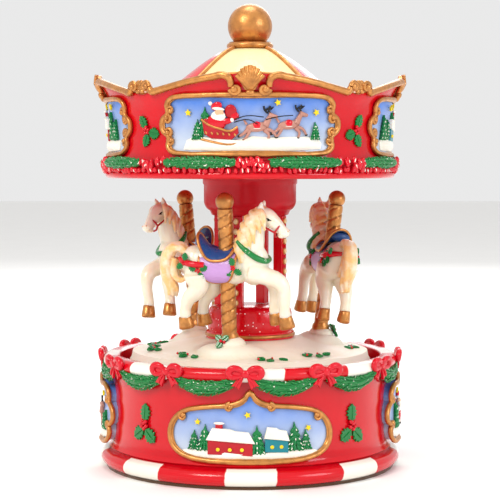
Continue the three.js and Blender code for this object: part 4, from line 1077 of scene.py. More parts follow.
def sleigh_ride():
    """A loaded sleigh drawn by two reindeer over the snow, under three stars."""
    out = RELIEF
    top = [(-21.5, 112.2), (-18.6, 113.4), (-12, 112.6), (-6, 112.0), (1, 113.4), (7, 113.0), (13, 113.2),
           (19, 113.3),
           (23.4, 112.6), (24.6, 111.2)]
    foot = [(-22.5, 109.2), (-12, 108.6), (0, 108.5), (12, 108.6), (24, 109.4)]
    parts = [snow_ground(top, foot, 0.7, 1.2)]
    parts += fir(-17.4, 112.4, 6.4, out, 21)
    parts += fir(-14.8, 114.0, 8.8, out - 0.3, 22)
    parts += fir(22.0, 112.4, 5.6, out, 23)
    parts += sleigh(-9.6, 114.9, out, 1.42)
    parts += reindeer(2.4, 116.3, out, 1.5)
    parts += reindeer(12.8, 117.0, out, 1.44)
    for rein in ([(-5.0, 118.6, out + 1.0), (-1.0, 119.8, out + 0.9), (4.4, 119.4, out + 1.0)],
                 [(-5.0, 117.8, out + 1.0), (-0.6, 118.6, out + 0.8), (2.4, 117.2, out + 1.0)],
                 [(5.0, 118.6, out + 1.0), (9.4, 119.6, out + 0.8), (13.8, 120.0, out + 1.0)]):
        parts.append(strand("black", rein, 0.17, sides=2))
    parts += [star(-20.6, 120.9, 0.8, 1.15), star(8.9, 124.0, 0.8, 1.15, 0.3),
              star(22.2, 121.0, 0.8, 1.15, 0.5)]
    return parts


def cottage_in_snow():
    """One red cottage among firs under stars, for the side panels."""
    out = RELIEF
    top = [(-23, 112.4), (-16, 113.6), (-8, 112.4), (0, 113.2), (9, 113.8), (17, 112.6), (23, 112.4)]
    foot = [(-23, 109.2), (-12, 108.6), (0, 108.5), (12, 108.6), (23, 109.2)]
    parts = [snow_ground(top, foot, 0.7, 1.2)]
    parts += cottage(4.4, 112.8, 13.0, 8.4, out, "brick", 3, True)
    parts += cottage(-9.4, 112.6, 8.0, 7.2, out, "teal", 2, False)
    for x, y, height, seed in ((-20.2, 112.8, 8.2, 31), (-16.0, 113.0, 6.6, 32), (-2.6, 112.8, 9.6, 33),
                               (14.2, 113.0, 9.2, 34), (19.2, 112.8, 6.8, 35)):
        parts += fir(x, y, height, out, seed)
    parts += [star(-13.0, 123.4, 0.8, 1.15), star(0.6, 124.2, 0.8, 1.15, 0.3),
              star(16.0, 123.8, 0.8, 1.15, 0.5)]
    return parts


def base_casting():
    """The red drum of the base with its striped foot and rim beads, open through the middle."""
    foot_bead = 2.6
    profile = [(WALL_INSIDE, FOOT_LOW)]
    profile += arc_profile(FOOT_REACH - foot_bead, FOOT_LOW + foot_bead, foot_bead, -90, 80, 9)
    profile += [(FOOT_REACH - foot_bead - 0.9, FOOT_TOP - 2.1), (WALL + 0.9, FOOT_TOP - 1.6),
                (WALL + 0.3, FOOT_TOP - 0.8), (WALL, FOOT_TOP)]
    steps = 8
    low_at, top_at = FOOT_TOP, RIM_MIDDLE - RIM_BEAD
    for step in range(1, steps + 1):
        height = low_at + (top_at - low_at) * step / steps
        profile.append((wall_radius(height), height))
    profile += arc_profile(WALL + 2.8 - RIM_BEAD, RIM_MIDDLE, RIM_BEAD, -90, 100, 10)
    profile += [(WALL_INSIDE + 0.8, RIM_TOP - 0.1), (WALL_INSIDE, RIM_TOP - 0.7), (WALL_INSIDE, RIM_TOP - 6),
                (WALL_INSIDE, FOOT_LOW)]
    shell = turned("candy", profile, 160, closed=True)
    return finished(shell, "base_casting", "base", "red_resin", "base_shell", smooth=40)


BOWS = 12


def base_garlands():
    """Twelve ribbon bows on the rim with a garland swag hanging between each pair."""
    pitch = math.tau / BOWS * WALL
    one_bow = joined("bow", bow(0, RIM_MIDDLE + 0.7, 3.0, 1.7))
    one_swag = joined("swag", leafy_swag((1.6, RIM_MIDDLE - 0.8), (pitch - 1.6, RIM_MIDDLE - 0.8), 3.2, 1.6,
                                         sizes().swag / MM, 3))
    pieces = []
    for at in range(BOWS):
        angle = FRONT - 1.7 + 360 / BOWS * at
        pieces.append(lay_on_base(copied(one_bow), angle))
        pieces.append(lay_on_base(copied(one_swag), angle))
    bpy.data.objects.remove(one_bow)
    bpy.data.objects.remove(one_swag)
    return finished(joined("base_bows_and_swags", pieces), "base_bows_and_swags", "base", "red_resin")


def lay_on_boss(obj, angle):
    """Bend a side picture onto the base wall, raised toward its middle where the casting bulges."""
    def shape(point):
        bulge = BOSS_RISE * max(0.0, 1 - (point.x / BOSS_HALF) ** 2) if point.z > 0 else 0.0
        return Vector((point.x, point.y, point.z + bulge))
    return lay_on_base(moved(obj, shape), angle)


def base_pictures():
    """The four framed pictures and the four holly sprigs of the base wall."""
    front_curls = [(22.4, 23.0, 60, -1), (6.6, 26.4, 100, -1)]
    side_curls = [(12.9, 23.6, 20, 1), (13.8, 15.8, -20, -1)]
    pieces = [
        frames_and_pictures("front", BASE_FRAME, "base_sky", front_curls, village(), lay_on_base, FRONT),
        frames_and_pictures("right", SIDE_FRAME, "base_sky", side_curls, present_bearer(), lay_on_boss,
                            FRONT + 90),
        frames_and_pictures("back", BASE_FRAME, "base_sky", front_curls, village(), lay_on_base, FRONT + 180),
        frames_and_pictures("left", SIDE_FRAME, "base_sky", side_curls, grazing_deer(), lay_on_boss,
                            FRONT + 270),
    ]
    for angle in (-46, 44, 134, 224):
        pieces.append(lay_on_base(joined("holly", holly_sprig(0, 18.4, 0.35, 1.34)), FRONT + angle))
    return finished(joined("base_pictures", pieces), "base_pictures", "base", "gold_paint")


# ---- Snow deck and column ----


def deck_top(radius):
    share = min(1.0, max(0.0, (DECK_REACH - radius) / (DECK_REACH - 15.9)))
    return DECK_LOW + 4 + 6.5 * share ** 0.8


POLE_FOOT = DECK_REACH - 16
MOUND_TOP = deck_top(POLE_FOOT) + 2.75
POLE_ANGLES = (-105, 17, 137)


def pole_place(angle):
    """From a pole's own frame, X along the ride and Z up the pole, to the carousel."""
    spun = Matrix.Rotation(math.radians(angle), 4, "Z") @ Matrix.Translation((POLE_FOOT, 0, MOUND_TOP))
    return spun @ Matrix.Rotation(math.radians(90), 4, "Z") @ Matrix.Rotation(math.radians(7.5), 4, "X")


def snow_deck():
    """The turning snow deck: a hill with a mound of drifted snow under each horse."""
    profile = [(2.0, DECK_LOW), (DECK_REACH - 0.4, DECK_LOW), (DECK_REACH, DECK_LOW + 0.6),
               (DECK_REACH, DECK_LOW + 3.2), (DECK_REACH - 0.5, DECK_LOW + 3.9)]
    steps = 30
    for step in range(steps + 1):
        radius = DECK_REACH - 1.0 - (DECK_REACH - 1.0 - 12.0) * step / steps
        profile.append((radius, deck_top(radius)))
    profile += [(2.0, SEAT - 0.3), (2.0, DECK_LOW)]
    hill = turned("snow", profile, 150, closed=True)
    picker = random.Random(5)
    drifts = [(picker.uniform(0, math.tau), picker.uniform(18, 39), picker.uniform(2, 5),
               picker.uniform(0.2, 0.7))
              for _ in range(46)]

    def drifted(point):
        radius = math.hypot(point.x, point.y)
        if radius < 16 or radius > DECK_REACH - 0.8 or point.z < DECK_LOW + 3:
            return point
        angle = math.atan2(point.y, point.x)
        lift = 0.0
        for pole_angle in POLE_ANGLES:
            apart = (angle - math.radians(pole_angle) + math.pi) % math.tau - math.pi
            along = radius * apart
            away = radius - POLE_FOOT
            spread = (along / 13.4) ** 2 + (away / 8.2) ** 2
            mound = MOUND_TOP - 5 + 5 * math.sqrt(max(0.0, 1 - spread))
            lift = max(lift, mound - point.z)
            lift += 0.35 * math.exp(-spread * 2.2) * math.sin(3.1 * apart * radius / 6)
        for at, far, size, tall in drifts:
            gap = math.hypot(point.x - far * math.cos(at), point.y - far * math.sin(at))
            lift += tall * 0.6 * math.exp(-(gap / size) ** 2)
        return Vector((point.x, point.y, point.z + max(0.0, lift)))
    return finished(moved(hill, drifted), "snow_hill", "carousel", "snow", "snow_deck", smooth=60)


def on_deck(x, y, lift=0.0):
    """Height of the deck's snow beside a place given from the axis."""
    return deck_top(math.hypot(x, y)) + lift


def deck_holly():
    """Small holly sprigs on the snow round the edge, and a snow mound with holly at each pole's foot."""
    parts = []
    for at in range(9):
        angle = math.radians(FRONT - 36 + 40 * at + (6 if at % 2 else -4))
        far = 35.5 if at % 2 else 33.8
        for leaf in range(4):
            turn = at * 47 + leaf * 95 + 10
            x = far * math.cos(angle) + (leaf - 1.5) * 2.3 * -math.sin(angle)
            y = far * math.sin(angle) + (leaf - 1.5) * 2.3 * math.cos(angle)
            for piece in holly_leaf("green", 0, 0, 0, 3.1, turn):
                piece.data.transform(Matrix.Translation((x, y, on_deck(x, y, 0.45))) @ Matrix.Rotation(
                    math.radians(6), 4, Vector((-math.sin(angle), math.cos(angle), 0))))
                parts.append(piece)
            if leaf % 2 == 0:
                parts.append(bead("ribbon", (x, y, on_deck(x, y, 0.9)), (0.42,) * 3))
    for angle in POLE_ANGLES:
        place_at = pole_place(angle)
        clump = [ball("snow", (0.6, -0.8, -0.2), (5.0, 4.2, 2.5), segments=28, rings=14)]
        for leaf in range(3):
            for piece in holly_leaf("green", 0, 0, 0, 3.0, 40 + leaf * 100):
                piece.data.transform(Matrix.Translation((-1.6, -4.2,
                                                         1.5)) @ Matrix.Rotation(math.radians(62), 4, "X"))
                clump.append(piece)
        clump.append(bead("ribbon", (-1.8, -4.8, 1.7), (0.6,) * 3))
        clump.append(bead("ribbon", (-0.7, -4.6, 1.3), (0.55,) * 3))
        for piece in clump:
            piece.data.transform(place_at)
        parts += clump
    return finished(joined("deck_holly", parts), "deck_holly", "carousel", "snow")


def column():
    """The glittering drum with its gold ring, and the capital under the canopy; the four pearl-edged posts
    come from column_posts.
    """
    base = SEAT + 0.02
    drum = turned("glitter", [(14.6, base), (15.4, base + 0.05), (15.4, base + 2.2), (14.6, base + 2.7),
                              (14.9, base + 4),
                              (14.6, DRUM_TOP - 2.2), (14.2, DRUM_TOP - 0.9), (13.4, DRUM_TOP)], 96)
    turns = [math.tau * at / 24 for at in range(24)]
    ring = strand("gold", [(15.2 * math.cos(turn), 15.2 * math.sin(turn), base + 1.2) for turn in turns],
                  0.65, closed=True)
    # Painted shade: the capital takes the darker red of the parts under the canopy.
    capital = turned("shaded_red", [(12.6, POST_TOP + 0.02), (13.4, POST_TOP + 0.3)]
                     + arc_profile(12.1, POST_TOP + 5.2, 4.0, -62, 0, 8)
                     + [(16.1, CAPITAL_TOP - 2.3), (16.5, CAPITAL_TOP - 1.8), (16.5, CAPITAL_TOP - 0.01)], 96)
    finished(joined("column_base", [drum, ring]), "column_base", "carousel", "red_resin", "column_drum")
    finished(capital, "column_top", "carousel", "dark_red", "column_capital")


POST_CIRCLE = 12.6


def column_posts():
    """Each post: a curved red board with a row of cream pearls between gold beads down its face."""
    foot = DRUM_TOP + 0.03
    tall = POST_TOP - foot
    for at in range(4):
        angle = -22 + 90 * at
        outline = [(-2.1, foot), (2.1, foot), (2.1, foot + tall), (-2.1, foot + tall)]
        parts = [plate("red", outline, -3.2, 0.3, 0.25)]
        count = 9
        for pearl in range(count):
            level = foot + tall * (pearl + 0.5) / count
            parts.append(ball("gold", (0, level, 0.25), (0.95, 1.25, 0.5)))
            parts.append(ball("cream", (0, level, 0.45), (0.7, 1.0, 0.65)))
        post = joined("post", parts)
        stood = bent(post, math.radians(angle), POST_CIRCLE, lambda turn, height: POST_CIRCLE)
        finished(stood, f"post_{at + 1}", "carousel", "red_resin", f"column_post_{at + 1}")


# ---- Canopy ----


def fascia_ring(share, inward=0.0):
    """One ring of the fascia at a share of its height, drawn in by an amount."""
    def at_angle(angle):
        height = FASCIA_LOW + 0.01 + (crest_height(angle) - FASCIA_LOW) * share
        return fascia_radius(angle, height) - inward, height
    return at_angle


def canopy_fascia():
    """The red fascia: waisted, then flared up to a wavy edge."""
    shares = [0.0, 0.04, 0.1, 0.17, 0.25, 0.34, 0.44, 0.55, 0.64, 0.73, 0.82, 0.89, 0.95, 1.0]
    rings = [fascia_ring(share) for share in shares]
    rings += [fascia_ring(1.0, 1.4), fascia_ring(0.97, 2.8), fascia_ring(0.5, 3.0), fascia_ring(0.0, 3.0),
              fascia_ring(0.0)]
    wall = waved("red", 240, rings)
    return finished(wall, "fascia_wall", "carousel", "red_resin", "canopy_fascia", smooth=60)


def crest_point(along):
    """A place on the fascia's top edge, from the distance along the wall from a shell."""
    return along, crest_height(along / CANOPY) - 0.35


def shell_and_scrolls():
    """A gold scallop shell with the edge moulding that sweeps from it, down to the scrolls at the dips."""
    foot = 127.6
    parts = [panel("gold", [(0, foot - 0.6), (1.7, foot + 0.6), (3.0, foot + 3.2), (3.3, foot + 5.4),
                            (2.3, foot + 7.1), (0, foot + 7.7), (-2.3, foot + 7.1), (-3.3, foot + 5.4),
                            (-3.0, foot + 3.2), (-1.7, foot + 0.6)], 1.0, 0.5)]
    ribs = 9
    for rib in range(ribs):
        lean = math.radians(-46 + 92 * rib / (ribs - 1))
        tall = 7.9 - 1.6 * abs(math.sin(lean)) ** 1.5
        tip = (math.sin(lean) * tall * 0.78, foot + math.cos(lean) * tall)
        middle = (tip[0] * 0.55, foot + (tip[1] - foot) * 0.55)
        parts.append(strand("gold", [(tip[0] * 0.08, foot, 1.0), (*middle, 2.0), (*tip, 1.6)], 0.74,
                            [0.35, 0.78, 1.0]))
    parts.append(ball("gold", (0, foot - 0.5, 1.2), (1.5, 0.9, 0.9)))
    for side in (-1, 1):
        run = [(6.0, 128.8), (5.9, 130.2), (6.6, 131.8), (8.6, 132.6), (11.2, 132.4), (14, 131.9),
               (18, 130.9),
               (22, 129.8), (26, 128.7), (29.5, 127.8), (32, 127.4), (33.8, 127.9), (34.5, 129.2)]
        tapers = [0.8, 0.9, 1.05, 1.1, 1.1, 1.05, 1.0, 1.0, 1.0, 1.05, 1.1, 1.05, 0.9]
        heights = [1.3, 1.3, 1.1, 0.8, 0.5, 0.4, 0.35, 0.35, 0.35, 0.4, 0.6, 0.9, 1.1]
        lifted = []
        for (x, y), height in zip(run, heights):
            if 11 < x < 32.5:
                y = crest_point(x)[1] + 0.1
            lifted.append((side * x, y, height))
        parts.append(strand("gold", lifted, 1.12, tapers, sides=4, steps=5))
        start = 0 if side == 1 else 180
        parts += curl("gold", side * 4.5, 128.1, 1.6, 1.7, 1.05, start, 0.84, -side)
        parts += curl("gold", side * 36.2, 129.6, 1.3, 1.8, 1.0, 180 - start, 0.8, -side)
        parts.append(bead("gold", (side * 5.2, 127.2, 1.0), (0.9, 0.7, 0.7)))
        parts.append(strand("gold", [(side * 37.6, 130.6, 1.0), (side * 38.4, 131.1, 0.9),
                                     (side * 39.1, 130.4, 0.9)],
                            0.7, [0.9, 1.1, 1.0]))
        parts.append(ball("gold", (side * 38.2, 128.2, 0.9), (1.2, 0.8, 0.7), (0, 0, side * 20)))
        parts.append(ball("gold", (side * 38.4, 129.6, 0.7), (1.5, 1.4, 0.7), (0, 0, 0)))
        parts.append(ball("gold", (side * 36.2, 129.6, 0.8), (1.3, 1.3, 0.5), (0, 0, 0)))
    return joined("shell", parts)


def canopy_gold():
    """Four shells and their mouldings round the fascia's edge."""
    one = shell_and_scrolls()
    pieces = [lay_on_canopy(copied(one), FRONT + turn) for turn in QUARTERS]
    bpy.data.objects.remove(one)
    line = []
    for at in range(120):
        angle = math.tau * at / 120
        height = crest_height(angle) + 0.05
        radius = fascia_radius(angle, height) - 0.7
        line.append((radius * math.cos(angle), radius * math.sin(angle), height))
    pieces.append(strand("gold", line, 0.62, closed=True, sides=3, steps=1))
    return finished(joined("canopy_gold", pieces), "canopy_gold", "carousel", "gold_paint")


def canopy_pictures():
    """The four framed pictures of the fascia and the holly between them."""
    curls = [(27.0, 121.9, -50, 1), (28.6, 119.0, 120, 1), (28.4, 115.0, 240, -1), (27.2, 111.8, 60, -1)]
    pieces = []
    for turn, picture in ((0, sleigh_ride()), (90, cottage_in_snow()), (180, sleigh_ride()),
                          (270, cottage_in_snow())):
        pieces.append(frames_and_pictures("picture", CANOPY_FRAME, "canopy_sky", curls, picture,
                                          lay_on_canopy,
                                          FRONT + turn))
    for turn in (-44, 46, 136, 226):
        sprig = joined("holly", holly_sprig(0, 0, 0.35, 1.06))
        sprig.data.transform(Matrix.Translation((0, 115.4, 0)) @ Matrix.Rotation(
            math.radians(34 if turn in (-44, 136) else -20), 4, "Z"))
        pieces.append(lay_on_canopy(sprig, FRONT + turn))
    return finished(joined("canopy_pictures", pieces), "canopy_pictures", "carousel", "gold_paint")


def canopy_soffit():
    """The soffit with its plain band, the ruffle above it, and nine garland segments with ruffled gaps."""
    low_at = SOFFIT_LOW
    # Painted shade: the soffit disc takes the darker red of the parts under the canopy.
    disc = turned("shaded_red", [(0.5, low_at), (46, low_at), (CANOPY - 1.2, low_at + 0.02),
                               (CANOPY - 0.2, low_at + 0.3),
                               (CANOPY + 0.2, low_at + 1.0), (CANOPY + 0.1, low_at + 2.2),
                               (CANOPY - 0.6, SOFFIT_TOP - 0.1),
                               (46.8, SOFFIT_TOP - 0.1), (46.8, low_at + 1.6), (0.5, low_at + 1.6)], 160)
    band = waved("red", 240, [
        lambda a: (CANOPY - 0.9, low_at + 0.05), lambda a: (CANOPY + 0.1, low_at + 0.3),
        lambda a: (CANOPY + 0.5, low_at + 1.1), lambda a: (CANOPY + 0.4, low_at + 1.9),
        lambda a: (CANOPY - 0.2, low_at + 2.4), lambda a: (CANOPY - 0.9, low_at + 0.05)])
    picker = random.Random(9)
    parts = [disc, band]
    ruffles = []

    def fold(turn, level, out, tall, white):
        lean = picker.uniform(-34, 34)
        lump = ball("ribbon", (0, level, out), (picker.uniform(0.6, 1.05), tall, 0.8),
                    (picker.uniform(-15, 15), picker.uniform(-20, 20), lean), 8, 6)
        ruffles.append(lay_round(lump, turn))
        if picker.random() < white:
            fleck = ball("white", (picker.uniform(-0.3, 0.3), level - 0.1, out + 0.68),
                         (0.2, picker.uniform(0.35, 0.8), 0.2), (0, 0, lean + picker.uniform(-15, 15)), 6, 4)
            ruffles.append(lay_round(fleck, turn))

    folds = 170
    for at in range(folds):
        turn = math.tau * (at + picker.uniform(-0.3, 0.3)) / folds
        fold(turn, low_at + 2.9 + picker.uniform(-0.3, 0.4), 0.75 + picker.uniform(-0.15, 0.3),
             picker.uniform(0.8, 1.5), 0.4)
    gaps = 9
    for gap in range(gaps):
        centre = math.radians(FRONT + 1 + 360 / gaps * gap)
        for at in range(16):
            turn = centre + math.radians(picker.uniform(-6.2, 6.2))
            fold(turn, low_at + 4.2 + 0.28 * (at % 8), 1.1 + picker.uniform(-0.2, 0.4),
                 picker.uniform(0.9, 1.7), 0.45)
    parts += ruffles
    piece = joined("soffit_ruffle", parts)
    finished(piece, "soffit_ruffle", "carousel", "red_resin", "canopy_soffit")
    length = CANOPY * math.tau / gaps
    segment = joined("segment", leafy_swag((5.4, low_at + 5.3), (length - 5.4, low_at + 5.3), 0.0, 1.0, 3.6,
                                           17))
    pieces = [lay_round(copied(segment), math.radians(FRONT + 1 + 360 / gaps * gap)) for gap in range(gaps)]
    bpy.data.objects.remove(segment)
    finished(joined("canopy_garland", pieces), "canopy_garland", "carousel", "red_resin")


HUB = 3.9
ROOF_THICK = 1.9
LEVEL_FROM = 0.74


def roof_point(angle, share):
    """A place on the roof's bell-shaped skin, from the neck out to the fascia."""
    edge_top = DIP_TOP - 1
    edge = fascia_radius(angle, edge_top - 2) - 3.0
    fallen = min(1.0, share / LEVEL_FROM)
    fallen = 0.55 * fallen + 0.45 * fallen * fallen * (3 - 2 * fallen)
    return NECK + (edge - NECK) * share, NECK_LOW - (NECK_LOW - edge_top) * fallen


def canopy_roof():
    """The roof: cream panels front and back, red ones at the sides, gold ribs, red bumps at the edge."""
    shares = [0.0, 0.04, 0.09, 0.15, 0.22, 0.29, 0.36, 0.43, 0.5, 0.57, 0.65, 0.74, 0.86, 1.0]
    rings = [lambda a: (HUB, NECK_LOW)]
    rings += [lambda a, s=share: roof_point(a, s) for share in shares]
    rings += [lambda a, s=share: (roof_point(a, s)[0], roof_point(a, s)[1] - ROOF_THICK)
              for share in reversed(shares)]
    rings += [lambda a: (HUB, NECK_LOW - ROOF_THICK), lambda a: (HUB, NECK_LOW)]
    roof = waved("cream", 160, rings)
    roof.data.materials.append(paints_by_name["red"])
    for face in roof.data.polygons:
        angle = abs(math.degrees(math.atan2(face.center.x, -face.center.y)))
        if 45 < angle < 135:
            face.material_index = 1
    parts = [roof]
    for turn in (45, 135, 225, 315):
        angle = math.radians(FRONT + turn)
        line = []
        for share in (0.0, 0.08, 0.16, 0.27, 0.38, 0.5, 0.62, 0.78, 0.97):
            radius, height = roof_point(angle, share)
            line.append((radius * math.cos(angle), radius * math.sin(angle), height + 0.25))
        parts.append(strand("gold", line, 0.85, [1.0] * 8 + [1.2]))
    for turn in (-62, -78, -102, -118, 62, 78, 102, 118):
        angle = math.radians(FRONT + turn)
        radius, height = roof_point(angle, 0.86)
        parts.append(ball("ribbon", (radius * math.cos(angle), radius * math.sin(angle), height + 0.8),
                          (3.4, 3.4, 1.9),
                          segments=20, rings=10))
    return finished(joined("roof_panels", parts), "roof_panels", "carousel", "cream_resin", "canopy_roof",
                    smooth=55)


def neck_and_finial():
    """The gold neck ring and the gold ball on top."""
    middle = (NECK_LOW + NECK_TOP) / 2
    ring = turned("gold", [(HUB, NECK_LOW + 0.02), (NECK - 0.7, NECK_LOW + 0.02)]
                  + arc_profile(NECK - 1.15, middle, 1.15, -80, 80, 8)
                  + [(NECK - 0.8, NECK_TOP), (HUB, NECK_TOP), (HUB, NECK_LOW + 0.02)], 72, closed=True)
    finished(ring, "neck_moulding", "carousel", "gold_paint", "neck_ring")
    radius = FINIAL_TOP - NECK_TOP
    size = radius / 1.72
    centre = FINIAL_TOP - size
    profile = [(3.6, NECK_LOW - 1.8), (3.6, NECK_TOP + 0.02)] + [
        (size * math.cos(math.radians(a)),
         centre + size * math.sin(math.radians(a))) for a in range(-44, 90, 6)]
    profile.append((0.1, FINIAL_TOP))
    knob = turned("gold", profile, 72)
    return finished(knob, "finial_knob", "carousel", "gold_paint", "finial_ball", smooth=60)


# ---- Poles and horses: shaped in a pole's own frame, X along the ride, Y toward the axis, Z up the pole ----


def pole(number):
    """A gold pole with two spiral grooves, a ball on top and a collar at its foot."""
    radius = sizes().pole / MM / 2
    length = 47.8
    profile = [(2.4, 0.35), (2.9, 0.5), (3.1, 1.5), (3.0, 2.6), (2.5, 3.4)]
    steps = 110
    for step in range(steps + 1):
        profile.append((radius, 3.8 + (length - 2.4 - 3.8) * step / steps))
    profile += [(radius * 0.92, length - 2.3)]
    profile += [(3.05 * math.cos(math.radians(a)),
                 length + 3.05 * math.sin(math.radians(a))) for a in range(-44, 88, 7)]
    profile.append((0.15, length + 3.05))
    stem = turned("gold", profile, 48)

    def grooved(point):
        across = math.hypot(point.x, point.y)
        if not 3.8 < point.z < length - 2.6 or across < radius * 0.5:
            return point
        turn = math.atan2(point.y, point.x)
        phase = (2 * turn - math.tau * point.z * 2 / 7.2) % math.tau
        cut = math.exp(-((phase - math.pi) / 0.42) ** 2)
        fade = min(1.0, (point.z - 3.8) / 1.5, (length - 2.6 - point.z) / 1.2)
        share = (radius - 0.42 * cut * fade + 0.08 * fade) / radius
        return Vector((point.x * share, point.y * share, point.z))
    moved(stem, grooved)
    stem.data.transform(pole_place(POLE_ANGLES[number - 1]))
    return finished(stem, f"gold_pole_{number}", "carousel", "gold_paint", f"pole_{number}", smooth=60)


def limb(points, radii):
    return strand("ivory", points, 1.0, radii, sides=5, steps=6)


def fleshed(stations):
    """A chain of overlapping balls through stations of place and three radii."""
    parts = []
    for (x, y, z, rx, ry, rz) in stations:
        parts.append(ball("ivory", (x, y, z), (rx, ry, rz), segments=20, rings=12))
    return parts


def horse_body():
    """The cast body, neck, head and legs, fused and smoothed."""
    parts = fleshed([
        (-11.0, 0, 20.2, 4.8, 4.9, 5.9), (-8.0, 0, 19.8, 5.4, 5.1, 6.2), (-3.4, 0, 18.2, 6.2, 4.9, 5.1),
        (2.4, 0, 18.3, 6.2, 4.9, 5.2), (8.2, 0, 20.0, 5.2, 4.8, 6.4), (10.8, 0, 20.8, 3.6, 4.0, 5.4),
        (8.2, 0, 23.6, 4.2, 3.7, 4.8), (-9.6, 2.2, 18.0, 4.6, 3.2, 5.8), (-9.6, -2.2, 18.0, 4.6, 3.2, 5.8),
        (9.6, 2.2, 17.2, 3.8, 2.7, 4.0), (9.6, -2.2, 17.2, 3.8, 2.7, 4.0)])
    parts.append(limb([(7.6, 0, 23.0), (9.0, 0, 27.4), (9.9, 0, 31.4), (10.8, 0, 34.4), (12.4, 0, 36.6)],
                      [4.8, 4.1, 3.5, 3.0, 2.5]))
    parts.append(limb([(6.0, 0, 24.0), (7.0, 0, 28.6), (8.2, 0, 32.8), (10.4, 0, 36.4)],
                      [3.7, 3.3, 2.8, 2.3]))
    parts.append(limb([(11.8, 0, 36.6), (14.2, 0, 35.9), (16.8, 0, 33.8), (18.9, 0, 31.7), (20.1, 0, 30.5)],
                      [2.7, 2.95, 2.4, 1.85, 1.7]))
    parts.append(ball("ivory", (13.2, 0, 34.4), (2.9, 2.2, 2.9)))
    parts.append(ball("ivory", (20.0, 0, 30.6), (1.9, 1.9, 1.75)))
    parts.append(ball("ivory", (18.9, 0, 29.6), (1.4, 1.4, 1.0)))
    for side in (-1, 1):
        parts.append(limb([(12.2, side * 1.4, 37.8), (12.7, side * 1.75, 39.6), (13.2, side * 1.85, 41.2)],
                          [1.25, 0.95, 0.3]))
        parts.append(ball("ivory", (15.3, side * 1.9, 35.4), (1.2, 0.6, 0.55), (0, 38, 0)))
    for side, run in ((-1, [(8.6, 17.8, 3.5), (14.4, 16.4, 3.0), (18.9, 14.2, 2.65), (20.2, 9.8, 2.0),
                            (19.9, 5.6, 1.8), (20.2, 2.7, 2.1)]),
                      (1, [(8.6, 17.4, 3.5), (12.8, 15.2, 2.9), (15.2, 12.0, 2.3), (15.3, 8.0, 1.9),
                           (15.0, 4.6, 1.8), (15.4, 2.6, 2.1)]),
                      (-1, [(-9.8, 17.0, 4.6), (-9.4, 12.4, 3.5), (-13.0, 8.2, 2.4), (-14.2, 4.8, 1.85),
                            (-14.4, 2.0, 2.1)]),
                      (1, [(-9.2, 17.0, 4.6), (-5.8, 12.2, 3.4), (-8.4, 8.0, 2.4), (-9.6, 4.6, 1.85),
                           (-9.8, 2.0, 2.1)])):
        parts.append(limb([(x, side * 2.9, z) for x, z, _ in run], [radius for _, _, radius in run]))
    body = joined("horse_body", parts)
    apply_modifier(body, "REMESH", mode="VOXEL", voxel_size=sizes().remesh / MM)
    apply_modifier(body, "SMOOTH", factor=0.6, iterations=6)
    return painted(body, "ivory")


def lock_of_hair(points, radii):
    return strand("peach", points, 1.0, radii, sides=3, steps=5)


def horse_hair():
    """Mane in clumped locks down the back of the neck, forelock and curling tail."""
    parts = []
    picker = random.Random(14)
    crest = [(11.4, 38.6), (9.4, 37.6), (7.6, 35.8), (6.2, 33.6), (5.0, 31.0), (4.2, 28.4), (3.6, 26.2)]
    for at, (x, z) in enumerate(crest):
        for side in (-1, 1):
            for row in range(3):
                lean = 0.35 + 0.3 * row
                fall = 3.4 + 1.3 * picker.random()
                start = (x - 0.1 + row * 0.5, side * (0.4 + 0.7 * row), z - 0.2 * row)
                mid = (x + 0.7 + row * 0.8, side * (2.7 + 0.35 * row), z - fall * 0.42)
                end = (x + 0.8 + row * 1.2 + picker.uniform(-0.5, 0.5), side * (3.6 + 0.15 * row),
                       z - fall * lean * 1.9)
                parts.append(lock_of_hair([start, mid, end], [1.2, 1.1, 0.35]))
    for side in (-0.5, 0.5):
        parts.append(lock_of_hair([(11.8, side, 39.0), (13.6, side * 1.4, 38.4), (14.8, side * 1.2, 36.8)],
                                  [0.8, 0.75, 0.3]))
    tail = [(-13.8, 0, 24.0), (-16.6, 0, 25.6), (-19.6, 0, 24.0), (-21.0, 0, 19.6), (-20.6, 0, 14.8),
            (-19.2, 0, 11.4),
            (-19.6, 0, 8.6)]
    for strand_at in range(7):
        around = math.tau * strand_at / 6
        off = 0.0 if strand_at == 6 else 1.15
        points = [(x + off * math.cos(around + at * 0.35) * (0.6 + 0.12 * at),
                   off * math.sin(around + at * 0.35) * 1.15,
                   z + 0.3 * off * math.sin(around)) for at, (x, _, z) in enumerate(tail)]
        parts.append(lock_of_hair(points, [0.9, 1.3, 1.4, 1.35, 1.2, 0.95, 0.4]))
    for side in (-1, 1):
        parts.append(lock_of_hair([(-17.8, side * 0.8, 21.6), (-18.2, side * 1.3, 17.4),
                                   (-16.2, side * 1.4, 14.4),
                                   (-13.8, side * 1.2, 15.2)], [1.2, 1.3, 1.05, 0.5]))
    hair = joined("hair", parts)
    apply_modifier(hair, "REMESH", mode="VOXEL", voxel_size=sizes().remesh / MM * 0.8)
    apply_modifier(hair, "SMOOTH", factor=0.4, iterations=2)
    return painted(hair, "peach")


def over_back(x, drop, out=0.0):
    """A place on the horse's flank: drop is the way round the body from the spine."""
    half = 5.15 + out
    tall = 5.2 + 0.012 * (x + 1.5) ** 2 + out
    angle = drop / 5.2
    return Vector((x, -half * math.sin(angle), 18.5 + tall * math.cos(angle)))


